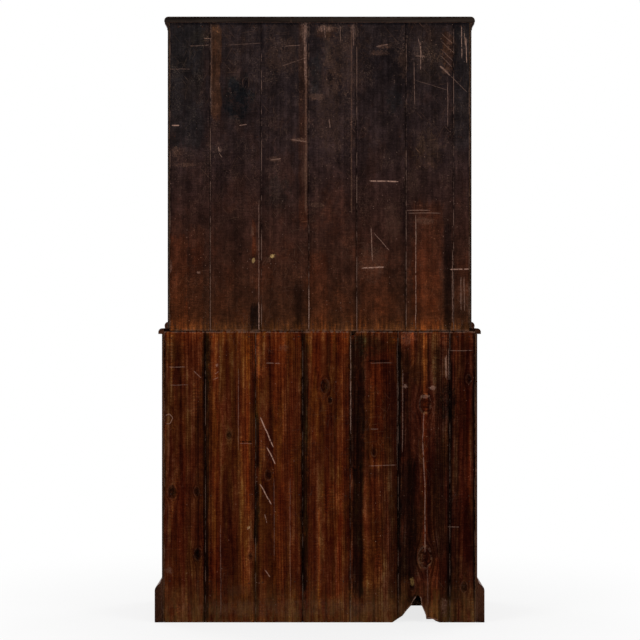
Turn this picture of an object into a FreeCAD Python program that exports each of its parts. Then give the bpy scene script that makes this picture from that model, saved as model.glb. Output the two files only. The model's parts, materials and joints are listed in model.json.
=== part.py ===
"""A two-part pine dresser: a glazed plate cupboard standing on a base with two drawers and two doors.

The case stands on the floor at z = 0, faces -Y and has its matchboarded back at +Y.
Left and right are those of someone who faces the doors. The back boards are numbered
from the left of someone who faces the back, that is from +X to -X.
"""

import FreeCAD, Part
import Sketcher
import os

Vector = FreeCAD.Vector

doc = FreeCAD.newDocument("dresser")
sheet = doc.addObject("Spreadsheet::Sheet", "sizes")

# Driving dimensions, in millimetres. Names that end in share are shares of another size.
SIZES = {
    "whole case": {
        "overall_height": 2000,
        "base_width": 1041,
        "base_depth": 460,
        "base_height": 971,
        "upper_step": 19,
        "upper_depth": 325,
    },
    "boards of the two carcasses": {
        "side_thickness": 20,
        "side_lip": 6,
        "housing_depth": 6,
        "floor_thickness": 18,
        "plate_floor_gap": 3,
        "shelf_thickness": 18,
        "plate_shelf_setback": 14,
        "cupboard_shelf_setback": 70,
        "cupboard_shelf_rise": 270,
        "shelf_round_share": 0.2,
        "plate_groove_width": 7,
        "plate_groove_depth": 3,
        "plate_groove_setback": 48,
    },
    "top boards": {
        "base_top_thickness": 19,
        "base_top_overhang": 12,
        "base_top_round_share": 0.66,
        "cornice_thickness": 20,
        "cornice_lap": 2,
        "cornice_round_share": 0.7,
        "cornice_under_share": 0.2,
    },
    "mouldings": {
        "cornice_moulding_height": 24,
        "cornice_moulding_reach": 9.5,
        "waist_height": 21,
        "waist_reach": 9.5,
        "plinth_height": 142,
        "plinth_thickness": 24,
        "plinth_ogee_height": 38,
    },
    "face frames": {
        "frame_thickness": 22,
        "frame_stile_width": 45,
        "frieze_height": 50,
        "top_rail_height": 25,
        "blade_height": 20,
        "bottom_rail_height": 42,
        "muntin_width": 30,
        "drawer_opening_height": 169,
        "tenon_thickness": 8,
        "tenon_length": 26,
    },
    "doors": {
        "door_thickness": 20,
        "door_gap": 2,
        "upper_door_stile": 45,
        "upper_door_top_rail": 48,
        "upper_door_bottom_rail": 62,
        "glass_lip": 10,
        "glass_rebate_width": 7,
        "glass_thickness": 3,
        "glass_play": 0.5,
        "bar_width": 16,
        "bar_web": 5,
        "bar_round_share": 0.3,
        "lower_door_stile": 56,
        "lower_door_top_rail": 56,
        "lower_door_bottom_rail": 72,
        "panel_groove_depth": 10,
        "panel_edge_play": 0.6,
        "panel_play": 1.5,
        "panel_bevel_width": 44,
        "panel_bevel_rise": 4.5,
        "panel_step": 1.5,
    },
    "drawers": {
        "drawer_gap": 1,
        "drawer_front_thickness": 20,
        "drawer_front_round": 2,
        "drawer_side_thickness": 12,
        "drawer_side_drop": 4,
        "drawer_bottom_thickness": 8,
        "drawer_bottom_rise": 10,
        "drawer_groove_depth": 6,
        "drawer_back_clearance": 18,
        "drawer_lap": 6,
        "rest_gap": 0.3,
        "tail_tip_share": 0.7,
        "tail_root_share": 0.5,
        "guide_height": 30,
    },
    "turned knobs": {
        "knob_reach": 34,
        "knob_radius": 18,
        "knob_foot_radius": 13,
        "knob_neck_radius": 8,
        "knob_spigot_radius": 7,
        "knob_spigot_play": 0.1,
        "knob_spacing": 236,
    },
    "hinges": {
        "hinge_height": 63,
        "hinge_inset": 95,
        "leaf_width": 16,
        "leaf_thickness": 1.6,
        "leaf_play": 0.2,
        "knuckle_radius": 4.5,
        "knuckle_standoff": 0.3,
        "knuckle_end_gap": 0.2,
        "pin_radius": 2.2,
        "pin_play": 0.04,
        "pin_cap_radius": 3.6,
        "pin_cap_height": 3,
    },
    "turning catches": {
        "catch_reach": 27,
        "catch_knob_radius": 11,
        "catch_neck_radius": 5,
        "catch_collar_radius": 9,
        "catch_collar_height": 3,
        "catch_face_gap": 0.3,
        "spindle_radius": 3.5,
        "spindle_play": 0.1,
        "tongue_length": 52,
        "tongue_width": 13,
        "tongue_thickness": 3,
        "tongue_gap": 1,
    },
    "sliding bolts": {
        "bolt_radius": 3,
        "bolt_play": 0.1,
        "bolt_hole_play": 0.5,
        "bolt_travel": 13,
        "bolt_floor_gap": 1.5,
        "bolt_length": 96,
        "bolt_case_radius": 6.5,
        "bolt_case_height": 16,
        "bolt_keep_gap": 1,
        "bolt_plate_width": 22,
        "bolt_plate_margin": 9,
        "bolt_plate_thickness": 1.5,
        "bolt_plate_rise": 8,
        "bolt_thumb_radius": 2.5,
        "bolt_thumb_reach": 9,
        "bolt_thumb_gap": 1,
    },
    "matchboarded back": {
        "back_thickness": 12,
        "board_gap": 1.4,
        "board_chamfer": 1.6,
        "tongue_reach": 6,
        "tongue_depth": 4,
        "tongue_play": 0.2,
        "seam_drop": 9,
        "seam_gap": 1,
        "bite_lap": 18,
        "bite_reach_share": 0.813,
        "bite_height": 91,
        "chip_width": 23,
        "chip_height": 19,
    },
    "glue blocks": {
        "block_size": 32,
        "block_length": 90,
        "block_setback": 40,
    },
    "drawing": {
        "overrun": 3,
    },
}

# Widths of the seven back boards of each case, as shares of the boarded width.
UPPER_BOARD_SHARES = (0.134, 0.1705, 0.158, 0.1595, 0.1645, 0.158, 0.0555)
LOWER_BOARD_SHARES = (0.132, 0.161, 0.151, 0.1525, 0.154, 0.1655, 0.084)

# The bite out of the foot of the lower back, from +X to -X, in shares of its width and height.
BITE_SHARES = (
    (0.0, 0.0),
    (0.09, 0.1),
    (0.22, 0.25),
    (0.3, 0.43),
    (0.39, 0.6),
    (0.45, 0.79),
    (0.54, 1.0),
    (0.6, 0.88),
    (0.62, 0.62),
    (0.68, 0.39),
    (0.71, 0.25),
    (0.72, 0.12),
    (0.86, 0.12),
    (0.92, 0.05),
    (1.0, 0.0),
)

# The corner that is broken from the top of a lower board, in shares of its width and height.
CHIP_SHARES = ((0.0, 0.0), (1.0, 0.0), (0.75, 0.55), (0.3, 0.75), (0.0, 1.0))

TAIL_COUNT = 3
PANE_ROWS = 3
KNUCKLE_COUNT = 3

row = 0
for group, values in SIZES.items():
    row += 1
    sheet.set(f"A{row}", group)
    for alias, number in values.items():
        row += 1
        sheet.set(f"A{row}", alias)
        sheet.set(f"B{row}", str(number))
        sheet.setAlias(f"B{row}", alias)
doc.recompute()


class Names(dict):
    """Turns {name} in a formula into a named formula, or else into a cell of the sheet."""

    def __missing__(self, name):
        return "sizes." + name


FORMULAS = Names()


def formula(text):
    """The text as an expression of the sheet's cells."""
    return str(text).format_map(FORMULAS)


def define(**named):
    """Names formulas, for use as {name} in later ones."""
    for name, text in named.items():
        FORMULAS[name] = "(" + formula(text) + ")"


def value(text):
    """What a formula comes to, in millimetres."""
    return float(sheet.evalExpression(formula(text)))


# Planes and heights that several pieces share.
define(
    upper_width="{base_width} - 2 * {upper_step}",
    cornice_overhang="{cornice_moulding_reach} + {cornice_lap}",
    back_y="({base_depth} + {knob_reach}) / 2",
    boards_y="{back_y} - {back_thickness}",
    base_front_y="{back_y} - {base_depth}",
    base_inside_y="{base_front_y} + {frame_thickness}",
    upper_front_y="{back_y} - {upper_depth}",
    upper_inside_y="{upper_front_y} + {frame_thickness}",
    case_top="{base_height} - {base_top_thickness}",
    seam="{base_height} - {seam_drop}",
    upper_top="{overall_height} - {cornice_thickness}",
    drawer_top="{case_top} - {top_rail_height}",
    drawer_floor="{drawer_top} - {drawer_opening_height}",
    lower_door_top="{drawer_floor} - {blade_height}",
    plate_floor="{base_height} + {waist_height}",
    upper_door_top="{upper_top} - {frieze_height}",
    tenon_front="({frame_thickness} - {tenon_thickness}) / 2",
    door_tenon_front="({door_thickness} - {tenon_thickness}) / 2",
)


def add_body(label, x="0", y="0", z="0"):
    """A new body whose own origin is placed at x, y, z."""
    body = doc.addObject("PartDesign::Body", label)
    body.Label = label
    for axis, text in zip("xyz", (x, y, z)):
        body.setExpression(f"Placement.Base.{axis}", formula(text))
    return body


def plane_of(body, role):
    """One of the body's own origin planes."""
    return next(p for p in body.Origin.OriginFeatures if p.Role == role)


def bow_radius(bow):
    """Radius of an arc over its chord, from its bow as a share of the chord."""
    bow = abs(bow)
    return 1 / (8 * bow) + bow / 2


def draw_edge(sketch, here, there, bow):
    """Adds a line, or an arc that bows to the right of its way, and says which end lies here."""
    if not bow:
        sketch.addGeometry(Part.LineSegment(here, there))
        return 1
    along = there - here
    middle = here + along / 2 + Vector(along.y, -along.x, 0) * bow
    if bow > 0:
        sketch.addGeometry(Part.Arc(here, middle, there))
        return 1
    sketch.addGeometry(Part.Arc(there, middle, here))
    return 2


def draw_loop(sketch, corners):
    """Adds one closed outline. A corner is (x, y) or (x, y, bow of the edge that leaves it)."""
    first = sketch.GeometryCount
    count = len(corners)
    spots = [Vector(value(c[0]), value(c[1]), 0) for c in corners]
    bows = [c[2] if len(c) > 2 else 0 for c in corners]
    starts = [draw_edge(sketch, spots[i], spots[(i + 1) % count], bows[i]) for i in range(count)]
    for i in range(count):
        after = (i + 1) % count
        sketch.addConstraint(
            Sketcher.Constraint("Coincident", first + i, 3 - starts[i], first + after, starts[after])
        )
    for i, (corner, spot, start) in enumerate(zip(corners, spots, starts)):
        for kind, text, number in (("DistanceX", corner[0], spot.x), ("DistanceY", corner[1], spot.y)):
            made = sketch.addConstraint(Sketcher.Constraint(kind, -1, 1, first + i, start, number))
            sketch.setExpression(f"Constraints[{made}]", formula(text))
        if bows[i]:
            after = corners[(i + 1) % count]
            across = f"(({after[0]}) - ({corner[0]}))"
            up = f"(({after[1]}) - ({corner[1]}))"
            radius = f"sqrt({across} ^ 2 + {up} ^ 2) * {bow_radius(bows[i])}"
            made = sketch.addConstraint(Sketcher.Constraint("Radius", first + i, value(radius)))
            sketch.setExpression(f"Constraints[{made}]", formula(radius))


def add_sketch(body, role, loops, lift="0"):
    """A sketch on one of the body's planes, lifted along the plane's normal."""
    sketch = body.newObject("Sketcher::SketchObject", body.Label + "_sketch")
    sketch.AttachmentSupport = [(plane_of(body, role), "")]
    sketch.MapMode = "FlatFace"
    sketch.setExpression("AttachmentOffset.Base.z", formula(lift))
    for corners in loops:
        draw_loop(sketch, corners)
    return sketch


def add_circles(body, role, circles, lift="0"):
    """A sketch of circles, each (x, y, radius)."""
    sketch = add_sketch(body, role, [], lift)
    for index, (x, y, radius) in enumerate(circles):
        spot = Vector(value(x), value(y), 0)
        sketch.addGeometry(Part.Circle(spot, Vector(0, 0, 1), value(radius)))
        facts = (
            (Sketcher.Constraint("DistanceX", -1, 1, index, 3, spot.x), x),
            (Sketcher.Constraint("DistanceY", -1, 1, index, 3, spot.y), y),
            (Sketcher.Constraint("Radius", index, value(radius)), radius),
        )
        for constraint, text in facts:
            made = sketch.addConstraint(constraint)
            sketch.setExpression(f"Constraints[{made}]", formula(text))
    return sketch


def rectangle(x0, x1, y0, y1):
    """The four corners of an upright rectangle."""
    return [(x0, y0), (x1, y0), (x1, y1), (x0, y1)]


CUTS = []


def add_feature(body, kind, sketch, length, backwards=False):
    """A Pad or a Pocket of that length from a sketch."""
    before = body.Tip
    made = body.newObject("PartDesign::" + kind, f"{body.Label}_{kind.lower()}")
    made.Profile = sketch
    made.setExpression("Length", formula(length))
    made.Reversed = backwards
    sketch.Visibility = False
    if kind == "Pocket":
        CUTS.append((before, made))
    return made


def pad(body, role, loops, length, lift="0", backwards=False):
    return add_feature(body, "Pad", add_sketch(body, role, loops, lift), length, backwards)


def pocket(body, role, loops, length, lift="0", backwards=False):
    return add_feature(body, "Pocket", add_sketch(body, role, loops, lift), length, backwards)


def drill(body, role, circles, length, lift="0", backwards=False):
    return add_feature(body, "Pocket", add_circles(body, role, circles, lift), length, backwards)


def block(label, x, y, z):
    """A board with square edges: x, y and z are each (from, to) in the case's frame."""
    body = add_body(label, x[0], y[0], z[0])
    width, depth = (f"({b}) - ({a})" for a, b in (x, y))
    pad(body, "XY_Plane", [rectangle("0", width, "0", depth)], f"({z[1]}) - ({z[0]})")
    return body


def cut_box(body, x, y, z):
    """Cuts a box out of a body: x, y and z are each (from, to) in the body's own frame."""
    pocket(body, "XY_Plane", [rectangle(*x, *y)], f"({z[1]}) - ({z[0]})", z[1])


def turn(body, outline):
    """Turns an outline of (radius, height) about the body's Z axis."""
    sketch = add_sketch(body, "XZ_Plane", [outline])
    made = body.newObject("PartDesign::Revolution", body.Label + "_turning")
    made.Profile = sketch
    made.ReferenceAxis = (sketch, ["V_Axis"])
    made.Angle = 360
    return made


def edge_names(shape, wanted):
    """Names of the straight edges that the test picks by their middle and direction."""
    names = []
    for index, edge in enumerate(shape.Edges, 1):
        middle = edge.valueAt((edge.FirstParameter + edge.LastParameter) / 2)
        along = edge.tangentAt(edge.FirstParameter)
        if wanted(middle, along):
            names.append(f"Edge{index}")
    return names


def round_edges(body, wanted, radius):
    """Fillets the edges that the test picks in the body's own frame."""
    doc.recompute()
    base = body.Tip
    names = edge_names(base.Shape, wanted)
    if not names:
        raise ValueError(f"{body.Label}: no edge to round")
    made = body.newObject("PartDesign::Fillet", body.Label + "_round")
    made.Base = (base, names)
    made.setExpression("Radius", formula(radius))
    return made


def gather(label, members):
    """Several separate pieces under one name."""
    made = doc.addObject("Part::Compound", label)
    made.Label = label
    made.Links = members
    return made


NODES = []


def keep(thing):
    """Marks a sub-part to be written out under its label."""
    NODES.append(thing)
    return thing


TINY = 0.001


def is_near(a, b):
    return abs(a - b) < TINY


# Mouldings that run round the front and the two ends of a case, mitred at the corners.


def run_moulding(label, outline, width, front_y, reach, foot):
    """Three mitred lengths. The outline is (out, up, bow) from the wall, from the foot upwards."""
    half = f"({width}) / 2"
    over = "{overrun}"
    front = add_body(label + "_front", "0", front_y, foot)
    across = [(f"-({c[0]})", *c[1:]) for c in outline]
    length = f"2 * ({half} + {reach})"
    pad(front, "YZ_Plane", [across], length, f"-({half} + {reach})")
    for side in (-1, 1):
        mitre = [
            (f"{side} * ({half} - {over})", over),
            (f"{side} * ({half} + {reach} + {over})", over),
            (f"{side} * ({half} + {reach} + {over})", f"-({reach} + {over})"),
        ]
        pocket(front, "XY_Plane", [mitre], "{overall_height}", backwards=True)
    lengths = [front]
    for side, name in ((-1, "left"), (1, "right")):
        end = add_body(f"{label}_{name}", f"{side} * ({half})", front_y, foot)
        away = [(f"{side} * ({c[0]})", c[1], -side * c[2] if len(c) > 2 else 0) for c in outline]
        pad(end, "XZ_Plane", [away], f"{{back_y}} - ({front_y}) + {reach}", reach, backwards=True)
        mitre = [
            (f"-{side} * {over}", over),
            (f"-{side} * {over}", f"-({reach} + {over})"),
            (f"{side} * ({reach} + {over})", f"-({reach} + {over})"),
        ]
        pocket(end, "XY_Plane", [mitre], "{overall_height}", backwards=True)
        lengths.append(end)
    return keep(gather(label, lengths))


def make_mouldings():
    hollow = [
        ("0", "0", 0),
        ("{cornice_moulding_reach} * 0.2", "0", 0.16),
        ("{cornice_moulding_reach}", "{cornice_moulding_height} * 0.8", 0),
        ("{cornice_moulding_reach}", "{cornice_moulding_height}", 0),
        ("0", "{cornice_moulding_height}", 0),
    ]
    run_moulding(
        "cornice_moulding",
        hollow,
        "{upper_width}",
        "{upper_front_y}",
        "{cornice_moulding_reach}",
        "{upper_top} - {cornice_moulding_height}",
    )
    ovolo = [
        ("0", "0", 0),
        ("{waist_reach}", "0", 0),
        ("{waist_reach}", "{waist_height} * 0.2", -0.2),
        ("{waist_reach} * 0.15", "{waist_height}", 0),
        ("0", "{waist_height}", 0),
    ]
    run_moulding(
        "waist_moulding",
        ovolo,
        "{upper_width}",
        "{upper_front_y}",
        "{waist_reach}",
        "{base_height}",
    )
    shoulder = "({plinth_height} - {plinth_ogee_height})"
    ogee = [
        ("0", "0", 0),
        ("{plinth_thickness}", "0", 0),
        ("{plinth_thickness}", shoulder, -0.12),
        ("{plinth_thickness} * 0.6", f"{shoulder} + {{plinth_ogee_height}} * 0.5", 0.12),
        ("{plinth_thickness} * 0.12", "{plinth_height}", 0),
        ("0", "{plinth_height}", 0),
    ]
    run_moulding(
        "plinth_boards",
        ogee,
        "{base_width}",
        "{base_front_y}",
        "{plinth_thickness}",
        "0",
    )


# Top boards with a rounded nose along the front and the ends.


def nosed_board(label, width, depth, thickness, foot, top_round, under_round=None):
    """A board whose back edge is in the plane of the back and whose other edges are rounded."""
    body = add_body(label, "0", "{back_y}", foot)
    outline = rectangle(f"-({width}) / 2", f"({width}) / 2", f"-({depth})", "0")
    pad(body, "XY_Plane", [outline], thickness)
    rounds = [(thickness, top_round)] + ([("0", under_round)] if under_round else [])
    for height, radius in rounds:
        level = value(height)
        round_edges(
            body,
            lambda middle, along: is_near(middle.z, level) and is_near(along.z, 0) and middle.y < -TINY,
            radius,
        )
    return body


def make_top_boards():
    cornice = nosed_board(
        "cornice_board",
        "{upper_width} + 2 * {cornice_overhang}",
        "{upper_depth} + {cornice_overhang}",
        "{cornice_thickness}",
        "{upper_top}",
        "{cornice_thickness} * {cornice_round_share}",
        "{cornice_thickness} * {cornice_under_share}",
    )
    keep(cornice)
    top = nosed_board(
        "base_top",
        "{base_width} + 2 * {base_top_overhang}",
        "{base_depth} + {base_top_overhang}",
        "{base_top_thickness}",
        "{case_top}",
        "{base_top_thickness} * {base_top_round_share}",
    )
    half = "({base_width} / 2 - {side_lip})"
    cut_box(
        top,
        (f"-{half}", half),
        ("-{back_thickness}", "{overrun}"),
        ("-{overrun}", "{base_top_thickness} + {overrun}"),
    )
    keep(top)


# Sides of the two cases, with a rebate for the back and housings for the boards between them.


def side_board(label, inward, width, front_y, foot, head, housings):
    """inward is 1 on the left side and -1 on the right; each housing is (foot, head, front_y)."""
    body = add_body(label, f"-{inward} * ({width}) / 2", "0", foot)
    outline = rectangle("0", f"{inward} * {{side_thickness}}", front_y, "{back_y}")
    pad(body, "XY_Plane", [outline], f"({head}) - ({foot})")
    tall = f"({head}) - ({foot})"
    cut_box(
        body,
        (f"{inward} * {{side_lip}}", f"{inward} * ({{side_thickness}} + {{overrun}})"),
        ("{boards_y}", "{back_y} + {overrun}"),
        ("-{overrun}", f"{tall} + {{overrun}}"),
    )
    for low, high, start in housings:
        cut_box(
            body,
            (
                f"{inward} * ({{side_thickness}} - {{housing_depth}})",
                f"{inward} * ({{side_thickness}} + {{overrun}})",
            ),
            (start, "{boards_y}"),
            (f"({low}) - ({foot})", f"({high}) - ({foot})"),
        )
    return keep(body)


define(
    base_floor_foot="{plinth_height} - {floor_thickness}",
    cupboard_shelf_foot="{plinth_height} + {cupboard_shelf_rise}",
    cupboard_shelf_y="{base_inside_y} + {cupboard_shelf_setback}",
    plate_floor_foot="{base_height} + {plate_floor_gap}",
    plate_floor_thickness="{plate_floor} - {plate_floor_foot}",
    plate_shelf_y="{upper_inside_y} + {plate_shelf_setback}",
    glazed_foot="{plate_floor} + {door_gap} + {upper_door_bottom_rail}",
    glazed_head="{upper_door_top} - {door_gap} - {upper_door_top_rail}",
    pane_pitch="({glazed_head} - {glazed_foot}) / " + str(PANE_ROWS),
)

# The plate shelves lie behind the glazing bars.
PLATE_SHELVES = [
    f"({{glazed_foot}} + {index} * {{pane_pitch}} - {{shelf_thickness}} / 2)"
    for index in range(1, PANE_ROWS)
]


def make_sides():
    lower = [
        ("{base_floor_foot}", "{plinth_height}", "{base_inside_y}"),
        ("{cupboard_shelf_foot}", "{cupboard_shelf_foot} + {shelf_thickness}", "{cupboard_shelf_y}"),
    ]
    upper = [("{plate_floor_foot}", "{plate_floor}", "{upper_inside_y}")]
    upper += [(foot, foot + " + {shelf_thickness}", "{plate_shelf_y}") for foot in PLATE_SHELVES]
    for inward, name in ((1, "left"), (-1, "right")):
        side_board(
            f"base_side_{name}", inward, "{base_width}", "{base_inside_y}", "0", "{case_top}", lower
        )
        side_board(
            f"upper_side_{name}",
            inward,
            "{upper_width}",
            "{upper_inside_y}",
            "{base_height}",
            "{upper_top}",
            upper,
        )


def housed_board(label, width, front_y, foot, thickness):
    """A board whose ends sit in the sides' housings."""
    half = f"(({width}) / 2 - {{side_thickness}} + {{housing_depth}})"
    return block(
        label, (f"-{half}", half), (front_y, "{boards_y}"), (foot, f"({foot}) + ({thickness})")
    )


def ease_front(body, radius):
    """Rounds the two long edges along a shelf's front."""
    round_edges(body, lambda middle, along: is_near(middle.y, 0) and is_near(abs(along.x), 1), radius)


def cut_plate_groove(body, width, front_y, thickness):
    """The groove near the back of a shelf that a plate's rim stands in."""
    back = f"({{boards_y}} - ({front_y}) - {{plate_groove_setback}})"
    start = "{housing_depth}"
    end = f"({width} - 2 * {{side_thickness}} + {{housing_depth}})"
    cut_box(
        body,
        (start, end),
        (f"{back} - {{plate_groove_width}}", back),
        (f"{thickness} - {{plate_groove_depth}}", f"{thickness} + {{overrun}}"),
    )


def make_shelves():
    floor = housed_board(
        "cupboard_floor", "{base_width}", "{base_inside_y}", "{base_floor_foot}", "{floor_thickness}"
    )
    drill_bolt_hole(floor, "base", "{floor_thickness}")
    keep(floor)
    cupboard_shelf = housed_board(
        "cupboard_shelf",
        "{base_width}",
        "{cupboard_shelf_y}",
        "{cupboard_shelf_foot}",
        "{shelf_thickness}",
    )
    ease_front(cupboard_shelf, "{shelf_thickness} * {shelf_round_share}")
    keep(cupboard_shelf)
    plate_floor = housed_board(
        "plate_cupboard_floor",
        "{upper_width}",
        "{upper_inside_y}",
        "{plate_floor_foot}",
        "{plate_floor_thickness}",
    )
    cut_plate_groove(plate_floor, "{upper_width}", "{upper_inside_y}", "{plate_floor_thickness}")
    drill_bolt_hole(plate_floor, "upper", "{plate_floor_thickness}")
    keep(plate_floor)
    shelves = []
    for index, foot in enumerate(PLATE_SHELVES, 1):
        shelf = housed_board(
            f"plate_shelf_{index}", "{upper_width}", "{plate_shelf_y}", foot, "{shelf_thickness}"
        )
        cut_plate_groove(shelf, "{upper_width}", "{plate_shelf_y}", "{shelf_thickness}")
        ease_front(shelf, "{shelf_thickness} * {shelf_round_share}")
        shelves.append(shelf)
    keep(gather("plate_shelves", shelves))


# Frames of stiles and tenoned rails.


def stile(label, x, y, z, mortises, inward, tenon_front):
    """An upright. Each mortise is (foot, head), in its inner edge; inward is +1 or -1 along X."""
    body = block(label, x, y, z)
    width = f"(({x[1]}) - ({x[0]}))"
    if inward > 0:
        deep = (f"{width} - {{tenon_length}}", f"{width} + {{overrun}}")
    else:
        deep = ("-{overrun}", "{tenon_length}")
    for foot, head in mortises:
        cut_box(
            body,
            deep,
            (tenon_front, f"{tenon_front} + {{tenon_thickness}}"),
            (f"({foot}) - ({z[0]})", f"({head}) - ({z[0]})"),
        )
    return body


def rail(label, x, y, z, tenon_front):
    """A rail between x[0] and x[1], with a full-height tenon beyond each shoulder."""
    body = add_body(label, x[0], y[0], z[0])
    length = f"(({x[1]}) - ({x[0]}))"
    thick = f"(({y[1]}) - ({y[0]}))"
    rear = f"({tenon_front} + {{tenon_thickness}})"
    far = f"({length} + {{tenon_length}})"
    outline = [
        ("-{tenon_length}", tenon_front),
        ("0", tenon_front),
        ("0", "0"),
        (length, "0"),
        (length, tenon_front),
        (far, tenon_front),
        (far, rear),
        (length, rear),
        (length, thick),
        ("0", thick),
        ("0", rear),
        ("-{tenon_length}", rear),
    ]
    pad(body, "XY_Plane", [outline], f"({z[1]}) - ({z[0]})")
    return body


def cut_hinge_beds(body, hand, feet, edge_x, z0):
    """Shallow beds for hinge leaves in an edge; hand is +1 where the bed goes towards +X."""
    for foot in feet:
        cut_box(
            body,
            (f"({edge_x}) - {hand} * {{overrun}}", f"({edge_x}) + {hand} * {{leaf_bed}}"),
            ("-{overrun}", "{leaf_width}"),
            (f"({foot}) - ({z0})", f"({foot}) + {{hinge_height}} - ({z0})"),
        )


define(
    leaf_bed="{leaf_thickness} + {leaf_play} - {door_gap} / 2",
    hinge_y="{knuckle_radius} + {knuckle_standoff}",
    lower_opening="{base_width} / 2 - {frame_stile_width}",
    upper_opening="{upper_width} / 2 - {frame_stile_width}",
    lower_door_foot="{plinth_height} + {door_gap}",
    lower_door_head="{lower_door_top} - {door_gap}",
    upper_door_foot="{plate_floor} + {door_gap}",
    upper_door_head="{upper_door_top} - {door_gap}",
)


def hinge_feet(tier):
    """Where the two hinges of a door start, from the floor up."""
    return (
        f"({{{tier}_door_foot}} + {{hinge_inset}})",
        f"({{{tier}_door_head}} - {{hinge_inset}} - {{hinge_height}})",
    )


def make_upper_frame():
    y = ("{upper_front_y}", "{upper_inside_y}")
    foot, head = "{base_height}", "{upper_top}"
    members = []
    for inward, name in ((1, "left"), (-1, "right")):
        edges = [f"-{inward} * {{upper_width}} / 2", f"-{inward} * {{upper_opening}}"]
        upright = stile(
            f"upper_frame_stile_{name}",
            tuple(edges[::inward]),
            y,
            (foot, head),
            [(foot, "{plate_floor}"), ("{upper_door_top}", head)],
            inward,
            "{tenon_front}",
        )
        edge = "{frame_stile_width}" if inward > 0 else "0"
        cut_hinge_beds(upright, -inward, hinge_feet("upper"), edge, foot)
        members.append(upright)
    x = ("-{upper_opening}", "{upper_opening}")
    members.append(rail("frieze_rail", x, y, ("{upper_door_top}", head), "{tenon_front}"))
    members.append(rail("sill_rail", x, y, (foot, "{plate_floor}"), "{tenon_front}"))
    keep(gather("upper_face_frame", members))


def make_base_frame():
    y = ("{base_front_y}", "{base_inside_y}")
    rails = {
        "bottom_rail": ("{plinth_height} - {bottom_rail_height}", "{plinth_height}"),
        "drawer_blade": ("{lower_door_top}", "{drawer_floor}"),
        "top_rail": ("{drawer_top}", "{case_top}"),
    }
    members = []
    for inward, name in ((1, "left"), (-1, "right")):
        edges = [f"-{inward} * {{base_width}} / 2", f"-{inward} * {{lower_opening}}"]
        upright = stile(
            f"base_frame_stile_{name}",
            tuple(edges[::inward]),
            y,
            ("0", "{case_top}"),
            rails.values(),
            inward,
            "{tenon_front}",
        )
        edge = "{frame_stile_width}" if inward > 0 else "0"
        cut_hinge_beds(upright, -inward, hinge_feet("lower"), edge, "0")
        members.append(upright)
    x = ("-{lower_opening}", "{lower_opening}")
    for name, z in rails.items():
        members.append(rail(name, x, y, z, "{tenon_front}"))
    members.append(
        block(
            "drawer_muntin",
            ("-{muntin_width} / 2", "{muntin_width} / 2"),
            y,
            ("{drawer_floor}", "{drawer_top}"),
        )
    )
    keep(gather("base_face_frame", members))


# What the drawers slide on, between and under.


def make_drawer_ways():
    y = ("{base_inside_y}", "{boards_y}")
    wall = "({base_width} / 2 - {side_thickness})"
    under = "({lower_opening} - {drawer_gap} - {drawer_side_thickness})"
    middle = "({muntin_width} / 2 + {drawer_gap} + {drawer_side_thickness})"
    wide = [(f"-{wall}", f"-{under}"), (f"-{middle}", middle), (under, wall)]
    half = "{muntin_width} / 2"
    narrow = [(f"-{wall}", "-{lower_opening}"), (f"-{half}", half), ("{lower_opening}", wall)]
    ways = []
    kickers = []
    for name, x, slim in zip(("left", "middle", "right"), wide, narrow):
        ways.append(block(f"{name}_runner", x, y, ("{lower_door_top}", "{drawer_floor}")))
        guide = ("{drawer_floor}", "{drawer_floor} + {guide_height}")
        ways.append(block(f"{name}_guide", slim, y, guide))
        kickers.append(block(f"{name}_kicker", x, y, ("{drawer_top}", "{case_top}")))
    keep(gather("drawer_runners", ways))
    keep(gather("drawer_kickers", kickers))


# The matchboarded back.


def board_outline(width, has_groove, has_tongue):
    """Plan of a board from its back face, which runs along X = 0 to -width at Y = 0."""
    half_gap = "{board_gap} / 2"
    near, far = half_gap, f"({width} - {half_gap})"
    thick, cut = "{back_thickness}", "{board_chamfer}"
    low = "({back_thickness} - {tongue_depth}) / 2"
    high = "({back_thickness} + {tongue_depth}) / 2"
    points = [(f"{near} + {cut}", "0"), (near, cut)]
    if has_groove:
        inner = f"({near} + {{tongue_reach}} + {{tongue_play}} - {{board_gap}})"
        points += [
            (near, f"{low} - {{tongue_play}}"),
            (inner, f"{low} - {{tongue_play}}"),
            (inner, f"{high} + {{tongue_play}}"),
            (near, f"{high} + {{tongue_play}}"),
        ]
    points += [(near, thick), (far, thick)]
    if has_tongue:
        tip = f"({far} + {{tongue_reach}})"
        points += [(far, high), (tip, high), (tip, low), (far, low)]
    points += [(far, cut), (f"{far} - {cut}", "0")]
    return [(f"-({x})", f"-({y})") for x, y in points]


def board_edges(shares, width):
    """X of the edges of the boards, from +X to -X."""
    field = f"({width} - 2 * {{side_lip}})"
    covered = 0.0
    edges = [f"{field} / 2"]
    for share in shares:
        covered += share
        edges.append(f"{field} * ({0.5 - covered / sum(shares)})")
    return edges


def back_boards(tier, shares, width, foot, head):
    """The boards of one case, each tongued into the next."""
    edges = board_edges(shares, width)
    boards = []
    for index in range(len(shares)):
        start, end = edges[index], edges[index + 1]
        body = add_body(f"{tier}_back_board_{index + 1}", start, "{back_y}", foot)
        outline = board_outline(f"(({start}) - ({end}))", index > 0, index < len(shares) - 1)
        pad(body, "XY_Plane", [outline], f"({head}) - ({foot})")
        boards.append(keep(body))
    return boards, edges


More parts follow.
